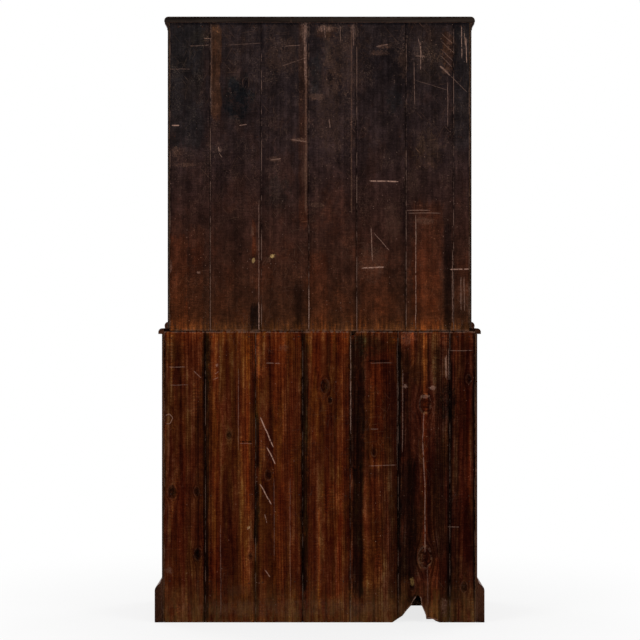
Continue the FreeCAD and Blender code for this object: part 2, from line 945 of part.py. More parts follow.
def make_back():
    back_boards("upper", UPPER_BOARD_SHARES, "{upper_width}", "{seam}", "{upper_top}")
    boards, edges = back_boards(
        "lower", LOWER_BOARD_SHARES, "{base_width}", "0", "{seam} - {seam_gap}"
    )
    start = f"({edges[5]} + {{bite_lap}})"
    width = f"({{bite_lap}} + (({edges[5]}) - ({edges[6]})) * {{bite_reach_share}})"
    for index in (4, 5):
        own = edges[index]
        bite = [
            (f"{start} - {width} * {x} - ({own})", f"{{bite_height}} * {z}") for x, z in BITE_SHARES
        ]
        through = "{back_thickness} + 2 * {overrun}"
        closed = bite + [(bite[-1][0], "-{overrun}"), (bite[0][0], "-{overrun}")]
        pocket(boards[index], "XZ_Plane", [closed], through, "{overrun} + {back_thickness}")
    head = "({seam} - {seam_gap})"
    chip = [
        (f"{{overrun}} - ({{chip_width}} + {{overrun}}) * {x}", f"{head} - {{chip_height}} * {z}")
        for x, z in CHIP_SHARES
    ]
    chip = [(chip[0][0], f"{head} + {{overrun}}"), (chip[1][0], f"{head} + {{overrun}}")] + chip[1:]
    pocket(
        boards[4],
        "XZ_Plane",
        [chip],
        "{back_thickness} + 2 * {overrun}",
        "{overrun} + {back_thickness}",
    )


def make_glue_blocks():
    """Triangular blocks in the corners between the base's sides and its floor."""
    members = []
    for side in (-1, 1):
        for name, y in (
            ("front", "{base_inside_y} + {block_setback}"),
            ("rear", "{boards_y} - {block_setback} - {block_length}"),
        ):
            body = add_body(
                f"glue_block_{name}_{side}",
                f"{side} * ({{base_width}} / 2 - {{side_thickness}})",
                y,
                "{base_floor_foot}",
            )
            outline = [
                ("0", "0"),
                (f"-{side} * {{block_size}}", "0"),
                ("0", "-{block_size}"),
            ]
            pad(body, "XZ_Plane", [outline], "{block_length}", backwards=True)
            members.append(body)
    keep(gather("glue_blocks", members))


# Doors. hand is -1 for the left door, which hangs on the left, and +1 for the right one.


def ordered(hand, outer, inner):
    """An outer and an inner X, lowest first."""
    return (outer, inner) if hand < 0 else (inner, outer)


def door_frame(hand, name, tier, front_y, stile_width, top_rail, bottom_rail):
    """Two stiles and two rails; the hinge stile has beds for the leaves."""
    y = (front_y, f"{front_y} + {{door_thickness}}")
    foot, head = f"{{{tier}_door_foot}}", f"{{{tier}_door_head}}"
    hung, met = (
        f"({hand} * ({{{tier}_opening}} - {{door_gap}}))",
        f"({hand} * {{door_gap}} / 2)",
    )
    hung_inner = f"({hung} - {hand} * {stile_width})"
    met_inner = f"({met} + {hand} * {stile_width})"
    mortises = [(foot, f"{foot} + {bottom_rail}"), (f"{head} - {top_rail}", head)]
    hinge_stile = stile(
        f"{name}_hinge_stile",
        ordered(hand, hung, hung_inner),
        y,
        (foot, head),
        mortises,
        -hand,
        "{door_tenon_front}",
    )
    edge = "0" if hand < 0 else stile_width
    cut_hinge_beds(hinge_stile, -hand, hinge_feet(tier), edge, foot)
    meeting_stile = stile(
        f"{name}_meeting_stile",
        ordered(hand, met_inner, met),
        y,
        (foot, head),
        mortises,
        hand,
        "{door_tenon_front}",
    )
    x = ordered(hand, hung_inner, met_inner)
    low = rail(f"{name}_bottom_rail", x, y, mortises[0], "{door_tenon_front}")
    high = rail(f"{name}_top_rail", x, y, mortises[1], "{door_tenon_front}")
    return {
        "hinge_stile": hinge_stile,
        "meeting_stile": meeting_stile,
        "bottom_rail": low,
        "top_rail": high,
        "x": x,
        "z": (f"({foot} + {bottom_rail})", f"({head} - {top_rail})"),
    }


def cut_edge_slot(frame, hand, slot_y, depth, stile_width, tier, bottom_rail, top_rail):
    """A groove or rebate round the inside of a door frame, stopped at the rails' shoulders."""
    x, z = frame["x"], frame["z"]
    foot = f"{{{tier}_door_foot}}"
    tall = (f"{z[0]} - {foot} - {depth}", f"{z[1]} - {foot} + {depth}")
    right_edge = (f"{stile_width} - {depth}", f"{stile_width} + {{overrun}}")
    left_edge = ("-{overrun}", depth)
    lower_x, upper_x = ("hinge_stile", "meeting_stile") if hand < 0 else ("meeting_stile", "hinge_stile")
    cut_box(frame[lower_x], right_edge, slot_y, tall)
    cut_box(frame[upper_x], left_edge, slot_y, tall)
    long_way = ("-{tenon_length} - {overrun}", f"({x[1]}) - ({x[0]}) + {{tenon_length}} + {{overrun}}")
    upper_edge = (f"{bottom_rail} - {depth}", f"{bottom_rail} + {{overrun}}")
    cut_box(frame["bottom_rail"], long_way, slot_y, upper_edge)
    cut_box(frame["top_rail"], long_way, slot_y, ("-{overrun}", depth))


def keep_frame(name, frame):
    members = [frame[key] for key in ("hinge_stile", "meeting_stile", "bottom_rail", "top_rail")]
    keep(gather(f"{name}_frame", members))


# Glazing bars: a moulded nose in front of the glass and a thin web between the panes.


def glazing_bar(label, centre, y, start, end, upright, web_over):
    """A bar along Z if it is upright, and else along X; web_over is how far its web runs on."""
    half, web = "{bar_width} / 2", "{bar_web} / 2"
    nose = "({glass_lip} * {bar_round_share})"
    outline = [
        (f"-{half}", "{glass_lip}"),
        (f"-{half}", nose, 0.2),
        (half, nose),
        (half, "{glass_lip}"),
    ]
    rib = rectangle(f"-{web}", web, "{glass_lip}", "{door_thickness}")
    length = f"(({end}) - ({start}))"
    if upright:
        body = add_body(label, centre, y, start)
        role = "XY_Plane"
    else:
        body = add_body(label, start, y, centre)
        role = "YZ_Plane"
        outline = [(c[1], c[0], -c[2]) if len(c) > 2 else (c[1], c[0]) for c in outline]
        rib = [(b, a) for a, b in rib]
    pad(body, role, [outline], length)
    pad(body, role, [rib], f"{length} + {web_over[0]} + {web_over[1]}", f"-({web_over[0]})")
    return body


def make_upper_door(hand, name):
    front = "{upper_front_y}"
    frame = door_frame(
        hand,
        name,
        "upper",
        front,
        "{upper_door_stile}",
        "{upper_door_top_rail}",
        "{upper_door_bottom_rail}",
    )
    cut_edge_slot(
        frame,
        hand,
        ("{glass_lip}", "{door_thickness} + {overrun}"),
        "{glass_rebate_width}",
        "{upper_door_stile}",
        "upper",
        "{upper_door_bottom_rail}",
        "{upper_door_top_rail}",
    )
    x, z = frame["x"], frame["z"]
    middle = f"(({x[0]} + {x[1]}) / 2)"
    rebate = "{glass_rebate_width}"
    bars = [glazing_bar(f"{name}_upright_bar", middle, front, z[0], z[1], True, (rebate, rebate))]
    beside = "({bar_width} / 2)"
    inset = "({bar_width} - {bar_web}) / 2"
    rows = [f"({z[0]} + {index} * {{pane_pitch}})" for index in range(PANE_ROWS + 1)]
    for index, height in enumerate(rows[1:-1], 1):
        spans = (
            ("left", x[0], f"({middle} - {beside})", (rebate, inset)),
            ("right", f"({middle} + {beside})", x[1], (inset, rebate)),
        )
        for place, start, end, over in spans:
            bars.append(
                glazing_bar(f"{name}_{place}_bar_{index}", height, front, start, end, False, over)
            )
    keep(gather(f"{name}_glazing_bars", bars))
    make_panes(name, x, z, middle, rows)
    if hand > 0:
        cut_spindle_hole(frame, "upper", "{upper_door_stile}")
    keep_frame(name, frame)
    make_hinges(hand, name, "upper", front)


def make_panes(name, x, z, middle, rows):
    """Panes that sit in the rebates against the wood in front of them."""
    play, web = "{glass_play}", "{bar_web} / 2"
    reach = "({glass_rebate_width} - {glass_play})"
    columns = (
        (f"({x[0]} - {reach})", f"({middle} - {web} - {play})"),
        (f"({middle} + {web} + {play})", f"({x[1]} + {reach})"),
    )
    y = ("({upper_front_y} + {glass_lip})", "({upper_front_y} + {glass_lip} + {glass_thickness})")
    panes = []
    for index in range(PANE_ROWS):
        foot = f"({z[0]} - {{glass_rebate_width}})" if index == 0 else f"({rows[index]} + {web})"
        head = f"({rows[index + 1]} - {web} - {play})"
        if index == PANE_ROWS - 1:
            head = f"({z[1]} + {reach})"
        for place, column in zip(("left", "right"), columns):
            panes.append(block(f"{name}_{place}_pane_{index + 1}", column, y, (foot, head)))
    keep(gather(f"{name}_panes", panes))


def make_lower_door(hand, name):
    front = "{base_front_y}"
    frame = door_frame(
        hand,
        name,
        "lower",
        front,
        "{lower_door_stile}",
        "{lower_door_top_rail}",
        "{lower_door_bottom_rail}",
    )
    groove = ("{door_tenon_front}", "{door_tenon_front} + {tenon_thickness}")
    cut_edge_slot(
        frame,
        hand,
        groove,
        "{panel_groove_depth}",
        "{lower_door_stile}",
        "lower",
        "{lower_door_bottom_rail}",
        "{lower_door_top_rail}",
    )
    if hand > 0:
        cut_spindle_hole(frame, "lower", "{lower_door_stile}")
    keep_frame(name, frame)
    make_panel(name, frame["x"], frame["z"])
    make_hinges(hand, name, "lower", front)


def make_panel(name, x, z):
    """A fielded panel: a thin edge in the groove, a bevel and a raised field, facing the front."""
    reach = "({panel_groove_depth} - {panel_play})"
    thickness = "({tenon_thickness} - {panel_edge_play})"
    edge_y = "({base_front_y} + {door_tenon_front} + {panel_edge_play} / 2)"
    foot = f"({z[0]} - {{panel_groove_depth}})"
    width = f"({x[1]} - ({x[0]}) + 2 * {reach})"
    height = f"({z[1]} - {z[0]} + {{panel_groove_depth}} + {reach})"
    body = add_body(f"{name}_panel", f"{x[0]} - {reach}", edge_y, foot)
    pad(body, "XZ_Plane", [rectangle("0", width, "0", height)], thickness, backwards=True)
    inset = "({panel_groove_depth} + {panel_bevel_width})"
    sill = "{panel_groove_depth}"
    bevel = rectangle(sill, f"{width} - {sill}", sill, f"{height} - {sill}")
    field = rectangle(inset, f"{width} - {inset}", inset, f"{height} - {inset}")
    low = add_sketch(body, "XZ_Plane", [bevel])
    high = add_sketch(body, "XZ_Plane", [field], "{panel_bevel_rise}")
    loft = body.newObject("PartDesign::AdditiveLoft", f"{name}_panel_bevel")
    loft.Profile = low
    loft.Sections = [high]
    loft.Ruled = True
    edge = "({panel_groove_depth} + {panel_bevel_width} + {panel_step})"
    raised = rectangle(edge, f"{width} - {edge}", edge, f"{height} - {edge}")
    pad(body, "XZ_Plane", [raised], "{panel_step}", "{panel_bevel_rise}")
    keep(body)


# Butt hinges. The frame leaf carries the end knuckles, the door leaf the middle one.


def box_between(label, x, y, z):
    """A Part box from its (from, to) limits."""
    made = doc.addObject("Part::Box", label)
    for side, axis, (low, high) in zip(("Length", "Width", "Height"), "xyz", (x, y, z)):
        made.setExpression(side, formula(f"({high}) - ({low})"))
        made.setExpression(f"Placement.Base.{axis}", formula(low))
    return made


def upright_cylinder(label, x, y, z, radius):
    """A Part cylinder along Z, from z[0] to z[1]."""
    made = doc.addObject("Part::Cylinder", label)
    made.setExpression("Radius", formula(radius))
    made.setExpression("Height", formula(f"({z[1]}) - ({z[0]})"))
    for axis, text in zip("xyz", (x, y, z[0])):
        made.setExpression(f"Placement.Base.{axis}", formula(text))
    return made


def hinge_leaf(label, hand, pivot_x, pivot_y, foot, on_door):
    """A leaf let into the edge beside the gap, with its own knuckles round the pin."""
    towards = -hand if on_door else hand
    near = f"({pivot_x} + {towards} * {{leaf_play}})"
    far = f"({pivot_x} + {towards} * ({{leaf_play}} + {{leaf_thickness}}))"
    x = (near, far) if towards > 0 else (far, near)
    face = f"({pivot_y} + {{hinge_y}})"
    step = f"{{hinge_height}} / {KNUCKLE_COUNT}"
    parts = [
        box_between(
            label + "_plate", x, (face, f"{face} + {{leaf_width}}"), (foot, f"{foot} + {{hinge_height}}")
        )
    ]
    for index in range(KNUCKLE_COUNT):
        if (index % 2 == 1) != on_door:
            continue
        low = f"({foot} + {index} * {step}" + (" + {knuckle_end_gap})" if on_door else ")")
        high = f"({foot} + {index + 1} * {step}" + (" - {knuckle_end_gap})" if on_door else ")")
        web_y = f"({pivot_y} + ({{pin_radius}} + {{knuckle_radius}}) / 2)"
        parts.append(box_between(f"{label}_web_{index}", x, (web_y, face), (low, high)))
        parts.append(
            upright_cylinder(
                f"{label}_knuckle_{index}", pivot_x, pivot_y, (low, high), "{knuckle_radius}"
            )
        )
    whole = doc.addObject("Part::MultiFuse", label + "_whole")
    whole.Shapes = parts
    bore = upright_cylinder(
        label + "_bore",
        pivot_x,
        pivot_y,
        (f"{foot} - {{overrun}}", f"{foot} + {{hinge_height}} + {{overrun}}"),
        "{pin_radius} + {pin_play}",
    )
    leaf = doc.addObject("Part::Cut", label)
    leaf.Base = whole
    leaf.Tool = bore
    return leaf


def hinge_pin(label, pivot_x, pivot_y, foot):
    """A pin with a rounded cap above and below the knuckles."""
    body = add_body(label, pivot_x, pivot_y, foot)
    top = "{hinge_height}"
    cap, wide, flat = "{pin_cap_height}", "{pin_cap_radius}", "{pin_cap_radius} * 0.55"
    outline = [
        ("0", f"-{cap}"),
        (flat, f"-{cap}", 0.2),
        (wide, f"-{cap} * 0.4"),
        (wide, "0"),
        ("{pin_radius}", "0"),
        ("{pin_radius}", top),
        (wide, top),
        (wide, f"{top} + {cap} * 0.4", 0.2),
        (flat, f"{top} + {cap}"),
        ("0", f"{top} + {cap}"),
    ]
    turn(body, outline)
    return body


FRAME_LEAVES = []
PINS = []


def make_hinges(hand, name, tier, front_y):
    """Two hinges; the pivot is in front of the gap between the door and its frame."""
    pivot_x = f"({hand} * ({{{tier}_opening}} - {{door_gap}} / 2))"
    pivot_y = f"({front_y} - {{hinge_y}})"
    leaves = []
    for place, foot in zip(("lower", "upper"), hinge_feet(tier)):
        label = f"{name}_{place}_hinge"
        FRAME_LEAVES.append(hinge_leaf(label + "_frame_leaf", hand, pivot_x, pivot_y, foot, False))
        leaves.append(hinge_leaf(label + "_door_leaf", hand, pivot_x, pivot_y, foot, True))
        PINS.append(hinge_pin(label + "_pin", pivot_x, pivot_y, foot))
    keep(gather(f"{name}_hinge_leaves", leaves))


# Turning catches, on the meeting stiles of the two right doors.

define(
    lower_catch_z="({lower_door_foot} + {lower_door_head}) / 2",
    upper_catch_z="({upper_door_foot} + {upper_door_head}) / 2",
)


def cut_spindle_hole(frame, tier, stile_width):
    """The hole through a meeting stile for the catch's spindle."""
    centre = (
        f"{stile_width} / 2",
        f"{{{tier}_catch_z}} - {{{tier}_door_foot}}",
        "{spindle_radius} + {spindle_play}",
    )
    drill(frame["meeting_stile"], "XZ_Plane", [centre], "{door_thickness} + 2 * {overrun}", "{overrun}")


def make_catch(tier, front_y, stile_width):
    """A turned brass knob on a spindle, with a tongue behind the door that stands upright at rest."""
    x = f"({{door_gap}} / 2 + {stile_width} / 2)"
    z = f"{{{tier}_catch_z}}"
    knob = add_body(f"{tier}_catch_knob", x, front_y, z)
    knob.setExpression("Placement.Rotation.Axis.x", "1")
    knob.setExpression("Placement.Rotation.Axis.z", "0")
    knob.setExpression("Placement.Rotation.Angle", "90")
    gap, collar = "{catch_face_gap}", "({catch_face_gap} + {catch_collar_height})"
    behind = "({door_thickness} + {tongue_gap})"
    tail = f"({behind} + {{tongue_thickness}})"
    waist = "({catch_reach} - {catch_knob_radius})"
    outline = [
        ("0", f"-{tail}"),
        ("{spindle_radius}", f"-{tail}"),
        ("{spindle_radius}", gap),
        ("{catch_collar_radius}", gap),
        ("{catch_collar_radius}", collar),
        ("{catch_neck_radius}", f"{collar} + {{catch_collar_height}}"),
        ("{catch_neck_radius}", f"({collar} + {waist}) / 2", -0.12),
        ("{catch_knob_radius}", waist, 0.2),
        ("{catch_knob_radius} * 0.4", "{catch_reach}"),
        ("0", "{catch_reach}"),
    ]
    turn(knob, outline)
    half = "{tongue_width} / 2"
    tongue = add_body(f"{tier}_catch_tongue", x, f"{front_y} + {behind}", z)
    reach = "({tongue_length} - {tongue_width} / 2)"
    blade = [
        (f"-{half}", "0", 0),
        (f"-{half}", reach, -0.46),
        (half, reach, 0),
        (half, "0", -0.46),
    ]
    pad(tongue, "XZ_Plane", [blade], "{tongue_thickness}", backwards=True)
    drill(
        tongue,
        "XZ_Plane",
        [("0", "0", "{spindle_radius}")],
        "{tongue_thickness} + 2 * {overrun}",
        "{overrun}",
    )
    keep(gather(f"{tier}_catch", [knob, tongue]))


# Sliding bolts, at the foot of the meeting stiles of the two left doors.

define(
    bolt_axis="{door_thickness} + {bolt_plate_thickness} + {bolt_case_radius}",
    thumb_rise="{bolt_travel} + {bolt_thumb_radius} + {bolt_thumb_gap}",
    bolt_case_spacing="{bolt_case_height} + {thumb_rise} + {bolt_thumb_radius} + {bolt_keep_gap}",
    bolt_plate_height="{bolt_case_spacing} + {bolt_case_height} + 2 * {bolt_plate_margin}",
)


def bolt_x(stile_width):
    return f"(-{{door_gap}} / 2 - {stile_width} / 2)"


def drill_bolt_hole(floor, case, thickness):
    """The hole in a case's floor board that the bolt drops into."""
    stile_width = {"base": "{lower_door_stile}", "upper": "{upper_door_stile}"}[case]
    left = f"(-{{{case}_width}} / 2 + {{side_thickness}} - {{housing_depth}})"
    centre = (
        f"{bolt_x(stile_width)} - {left}",
        f"{{{case}_front_y}} + {{bolt_axis}} - {{{case}_inside_y}}",
        "{bolt_radius} + {bolt_hole_play}",
    )
    drill(floor, "XY_Plane", [centre], f"{thickness} + 2 * {{overrun}}", f"{thickness} + {{overrun}}")


def make_bolt(tier, front_y, stile_width):
    """A plate with two keeps behind the door, and a rod with a thumb-piece that slides in them."""
    x = bolt_x(stile_width)
    foot = f"({{{tier}_door_foot}} + {{bolt_plate_rise}})"
    face = f"({front_y} + {{door_thickness}})"
    case = add_body(f"{tier}_bolt_case", x, face, foot)
    half = "{bolt_plate_width} / 2"
    plate = rectangle(f"-{half}", half, "0", "{bolt_plate_height}")
    pad(case, "XZ_Plane", [plate], "{bolt_plate_thickness}", backwards=True)
    centre = "({bolt_plate_thickness} + {bolt_case_radius})"
    wide, hole = "{bolt_case_radius}", "({bolt_radius} + {bolt_play})"
    for index in range(2):
        low = f"({{bolt_plate_margin}} + {index} * {{bolt_case_spacing}})"
        keep_outline = [
            (f"-{wide}", "0", 0),
            (wide, "0", 0),
            (wide, centre, 0.46),
            (f"-{wide}", centre, 0),
        ]
        pad(case, "XY_Plane", [keep_outline], "{bolt_case_height}", low)
    drill(case, "XY_Plane", [("0", centre, hole)], "{bolt_plate_height}", "{bolt_plate_height}")
    keep(case)
    start = f"({{{tier}_door_foot}} - {{door_gap}} + {{bolt_floor_gap}})"
    rod = add_body(f"{tier}_bolt_rod", x, f"{front_y} + {{bolt_axis}}", start)
    drawn = add_circles(rod, "XY_Plane", [("0", "0", "{bolt_radius}")])
    add_feature(rod, "Pad", drawn, "{bolt_length}")
    thumb = f"({foot} - {start} + {{bolt_plate_margin}} + {{bolt_case_height}} + {{thumb_rise}})"
    knob = add_circles(rod, "XZ_Plane", [("0", thumb, "{bolt_thumb_radius}")])
    add_feature(rod, "Pad", knob, "{bolt_radius} + {bolt_thumb_reach}", backwards=True)
    keep(rod)


# Drawers.


def tails(foot, height):
    """Each dovetail's lowest and highest points at its tip and at its root, as (tip, root) pairs."""
    pitch = f"({height} / {TAIL_COUNT})"
    found = []
    for index in range(TAIL_COUNT):
        middle = f"({foot} + ({index} + 0.5) * {pitch})"
        tip = f"({pitch} * {{tail_tip_share}} / 2)"
        root = f"({pitch} * {{tail_root_share}} / 2)"
        found.append(
            {
                "tip": (f"{middle} - {tip}", f"{middle} + {tip}"),
                "root": (f"{middle} - {root}", f"{middle} + {root}"),
            }
        )
    return found


define(
    drawer_foot="{drawer_floor} + {rest_gap}",
    drawer_head="{drawer_top} - {drawer_gap}",
    drawer_side_height="{drawer_head} - {drawer_side_drop} - {drawer_foot}",
    drawer_length="{base_depth} - {back_thickness} - {drawer_back_clearance}",
)


def make_drawer(hand, name):
    """hand is -1 for the left drawer and +1 for the right one."""
    near = f"({hand} * ({{muntin_width}} / 2 + {{drawer_gap}}))"
    far = f"({hand} * ({{lower_opening}} - {{drawer_gap}}))"
    x = (far, near) if hand < 0 else (near, far)
    width = f"({x[1]} - ({x[0]}))"
    front = block(
        f"{name}_front",
        x,
        ("{base_front_y}", "{base_front_y} + {drawer_front_thickness}"),
        ("{drawer_foot}", "{drawer_head}"),
    )
    round_edges(front, lambda middle, along: is_near(middle.y, 0), "{drawer_front_round}")
    thick, lap = "{drawer_front_thickness}", "{drawer_lap}"
    side = "{drawer_side_thickness}"
    sockets = [
        [
            (lap, tail["tip"][0]),
            (thick, tail["root"][0]),
            (thick, tail["root"][1]),
            (lap, tail["tip"][1]),
        ]
        for tail in tails("0", "{drawer_side_height}")
    ]
    pocket(front, "YZ_Plane", sockets, side, side)
    pocket(front, "YZ_Plane", sockets, side, f"{width} - {side}", backwards=True)
    rise, depth = "{drawer_bottom_rise}", "{drawer_groove_depth}"
    slot = (rise, f"{rise} + {{drawer_bottom_thickness}}")
    inner = (f"{side} - {depth}", f"{width} - {side} + {depth}")
    cut_box(front, inner, (f"{thick} - {depth}", f"{thick} + {{overrun}}"), slot)
    knob_z = "({drawer_head} - {drawer_foot}) / 2"
    hole_radius = "{knob_spigot_radius} + {knob_spigot_play}"
    holes = [
        (f"{width} / 2 + {side_of} * {{knob_spacing}} / 2", knob_z, hole_radius) for side_of in (-1, 1)
    ]
    drill(front, "XZ_Plane", holes, f"{thick} + 2 * {{overrun}}", "{overrun}")
    keep(front)
    make_drawer_box(name, x, width)
    make_drawer_knobs(name, x, width)


def drawer_side(label, x, inner_from, inner_to):
    """A side with dovetails at the front and a groove for the bottom."""
    long_side = "({drawer_length} - {drawer_lap})"
    root = "({drawer_front_thickness} - {drawer_lap})"
    body = add_body(label, x, "{base_front_y} + {drawer_lap}", "{drawer_foot}")
    outline = [(long_side, "0"), (long_side, "{drawer_side_height}"), (root, "{drawer_side_height}")]
    for tail in reversed(tails("0", "{drawer_side_height}")):
        outline += [
            (root, tail["root"][1]),
            ("0", tail["tip"][1]),
            ("0", tail["tip"][0]),
            (root, tail["root"][0]),
        ]
    outline.append((root, "0"))
    pad(body, "YZ_Plane", [outline], "{drawer_side_thickness}")
    rise = "{drawer_bottom_rise}"
    cut_box(
        body,
        (inner_from, inner_to),
        ("-{overrun}", f"{long_side} + {{overrun}}"),
        (rise, f"{rise} + {{drawer_bottom_thickness}}"),
    )
    return body


def make_drawer_box(name, x, width):
    side, depth = "{drawer_side_thickness}", "{drawer_groove_depth}"
    left = drawer_side(f"{name}_left_side", x[0], f"{side} - {depth}", f"{side} + {{overrun}}")
    right = drawer_side(f"{name}_right_side", f"{x[1]} - {side}", "-{overrun}", depth)
    lift = "{drawer_foot} + {drawer_bottom_rise}"
    bottom_z = (lift, f"{lift} + {{drawer_bottom_thickness}}")
    rear = "({base_front_y} + {drawer_length})"
    back = block(
        f"{name}_back",
        (f"{x[0]} + {side}", f"{x[1]} - {side}"),
        (f"{rear} - {side}", rear),
        (bottom_z[1], "{drawer_foot} + {drawer_side_height}"),
    )
    bottom = block(
        f"{name}_bottom",
        (f"{x[0]} + {side} - {depth}", f"{x[1]} - {side} + {depth}"),
        (f"{{base_front_y}} + {{drawer_front_thickness}} - {depth}", rear),
        bottom_z,
    )
    keep(gather(f"{name}_box", [left, right, back, bottom]))


def make_drawer_knobs(name, x, width):
    """Two turned wooden knobs, each with a spigot through the front."""
    reach, wide = "{knob_reach}", "{knob_radius}"
    outline = [
        ("0", "-{drawer_front_thickness}"),
        ("{knob_spigot_radius}", "-{drawer_front_thickness}"),
        ("{knob_spigot_radius}", "0"),
        ("{knob_foot_radius}", "0"),
        ("{knob_foot_radius}", f"{reach} * 0.12", -0.15),
        ("{knob_neck_radius}", f"{reach} * 0.42", -0.12),
        (wide, f"{reach} * 0.68", 0.28),
        (f"{wide} * 0.6", f"{reach} * 0.97"),
        (f"{wide} * 0.2", reach),
        ("0", reach),
    ]
    members = []
    for side_of in (-1, 1):
        body = add_body(
            f"{name}_knob_{(side_of + 3) // 2}",
            f"({x[0]}) + {width} / 2 + {side_of} * {{knob_spacing}} / 2",
            "{base_front_y}",
            "({drawer_head} + {drawer_foot}) / 2",
        )
        body.setExpression("Placement.Rotation.Axis.x", "1")
        body.setExpression("Placement.Rotation.Axis.z", "0")
        body.setExpression("Placement.Rotation.Angle", "90")
        turn(body, outline)
        members.append(body)
    keep(gather(f"{name}_knobs", members))


def check_document():
    """Stops where an object failed, a cut took nothing away, or a sub-part isn't sound."""
    for thing in doc.Objects:
        if {"Invalid", "Error"} & set(thing.State):
            raise ValueError(f"{thing.Label} failed: {thing.State}")
    for before, after in CUTS:
        if after.Shape.Volume >= before.Shape.Volume - TINY:
            raise ValueError(f"{after.Label} cuts nothing")
    labels = [thing.Label for thing in NODES]
    if len(set(labels)) != len(labels):
        raise ValueError("two sub-parts share a name")
    for thing in NODES:
        shape = thing.Shape
        if shape.isNull() or not shape.isValid() or not shape.Solids:
            raise ValueError(f"{thing.Label} is not a sound solid")


make_mouldings()
make_top_boards()
make_sides()
make_shelves()
make_upper_frame()
make_base_frame()
make_drawer_ways()
make_back()
make_glue_blocks()
make_upper_door(-1, "upper_left_door")
make_upper_door(1, "upper_right_door")
make_lower_door(-1, "lower_left_door")
make_lower_door(1, "lower_right_door")
keep(gather("hinge_frame_leaves", FRAME_LEAVES))
keep(gather("hinge_pins", PINS))
make_catch("upper", "{upper_front_y}", "{upper_door_stile}")
make_catch("lower", "{base_front_y}", "{lower_door_stile}")
make_bolt("upper", "{upper_front_y}", "{upper_door_stile}")
make_bolt("lower", "{base_front_y}", "{lower_door_stile}")
make_drawer(-1, "left_drawer")
make_drawer(1, "right_drawer")
doc.recompute()
check_document()

os.makedirs("parts", exist_ok=True)
for thing in NODES:
    thing.Shape.exportStep(f"parts/{thing.Label}.step")
print(len(NODES), "sub-parts,", sum(len(thing.Shape.Solids) for thing in NODES), "solids")
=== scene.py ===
import bpy
import json
import math
import random
from collections import namedtuple
from mathutils import Color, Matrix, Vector

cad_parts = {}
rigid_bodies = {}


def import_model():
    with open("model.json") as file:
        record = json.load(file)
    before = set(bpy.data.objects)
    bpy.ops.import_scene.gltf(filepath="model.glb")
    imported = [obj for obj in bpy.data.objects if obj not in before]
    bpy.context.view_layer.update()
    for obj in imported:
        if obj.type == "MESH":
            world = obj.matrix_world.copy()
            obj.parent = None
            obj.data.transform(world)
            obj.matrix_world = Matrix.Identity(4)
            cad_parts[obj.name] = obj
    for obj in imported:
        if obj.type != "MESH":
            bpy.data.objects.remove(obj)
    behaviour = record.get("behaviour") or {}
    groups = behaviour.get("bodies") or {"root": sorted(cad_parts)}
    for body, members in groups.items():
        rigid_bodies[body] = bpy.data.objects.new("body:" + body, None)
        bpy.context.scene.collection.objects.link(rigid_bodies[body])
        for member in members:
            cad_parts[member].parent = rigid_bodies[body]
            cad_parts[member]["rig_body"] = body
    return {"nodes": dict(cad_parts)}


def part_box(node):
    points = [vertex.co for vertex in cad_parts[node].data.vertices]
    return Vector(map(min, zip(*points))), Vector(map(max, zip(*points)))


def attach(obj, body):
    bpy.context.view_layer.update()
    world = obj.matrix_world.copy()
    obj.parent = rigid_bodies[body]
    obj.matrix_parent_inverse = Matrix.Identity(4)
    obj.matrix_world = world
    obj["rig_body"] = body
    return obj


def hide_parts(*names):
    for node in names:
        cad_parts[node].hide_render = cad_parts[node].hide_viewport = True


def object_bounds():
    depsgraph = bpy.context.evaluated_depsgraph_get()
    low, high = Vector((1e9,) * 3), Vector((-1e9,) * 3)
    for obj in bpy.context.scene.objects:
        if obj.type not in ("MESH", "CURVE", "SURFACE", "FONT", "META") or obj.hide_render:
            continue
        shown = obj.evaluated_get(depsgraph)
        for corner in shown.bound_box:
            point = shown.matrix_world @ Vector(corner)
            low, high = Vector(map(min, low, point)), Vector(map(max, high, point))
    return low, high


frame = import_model()
CAD_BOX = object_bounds()

bl_info = {
    "name": "Pine dresser finish",
    "version": (1, 0, 0),
    "blender": (4, 5, 0),
    "location": "3D View > Sidebar > Dresser",
    "description": "Gives the pine dresser its worn stain, its nails and pegs, and a plain stage",
    "category": "Object",
}

# The photo shows the back from straight behind. Its pixels are counted from its left and top.
PHOTO_SIZE = 640
PHOTO_MIDDLE = 319.6
PHOTO_TOP = 16.5
PHOTO_FOOT = 622.5
# Behind the broken foot the floor is dark down to this row.
DARK_FLOOR_END = 605.7
PIXEL = CAD_BOX[1].z / (PHOTO_FOOT - PHOTO_TOP)
BACK_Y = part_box("lower_back_board_1")[1].y

BOARDS = {tier: [f"{tier}_back_board_{number}" for number in range(1, 8)] for tier in ("upper", "lower")}
# How far each board of the lower back is towards the dark finish, from the left of someone behind it.
DARK_SHARES = dict(zip(BOARDS["lower"], (0.3, 0.1, 0, 0.05, 0.6, 0.95, 0.9)))

# Marks on the back, placed by their pixels in the photo. Widths and radii are pixels too.
# In each list the later marks lie over the earlier ones.
Band = namedtuple("Band", "shade x half_width top foot ragged strength")
Patch = namedtuple("Patch", "shade x y across up strength")
Knot = namedtuple("Knot", "x y radius core rim", defaults=(0.75, 0.15))
Scratch = namedtuple("Scratch", "x y to_x to_y width strength")


def marks(kind, *rows):
    return [kind(*row) for row in rows]


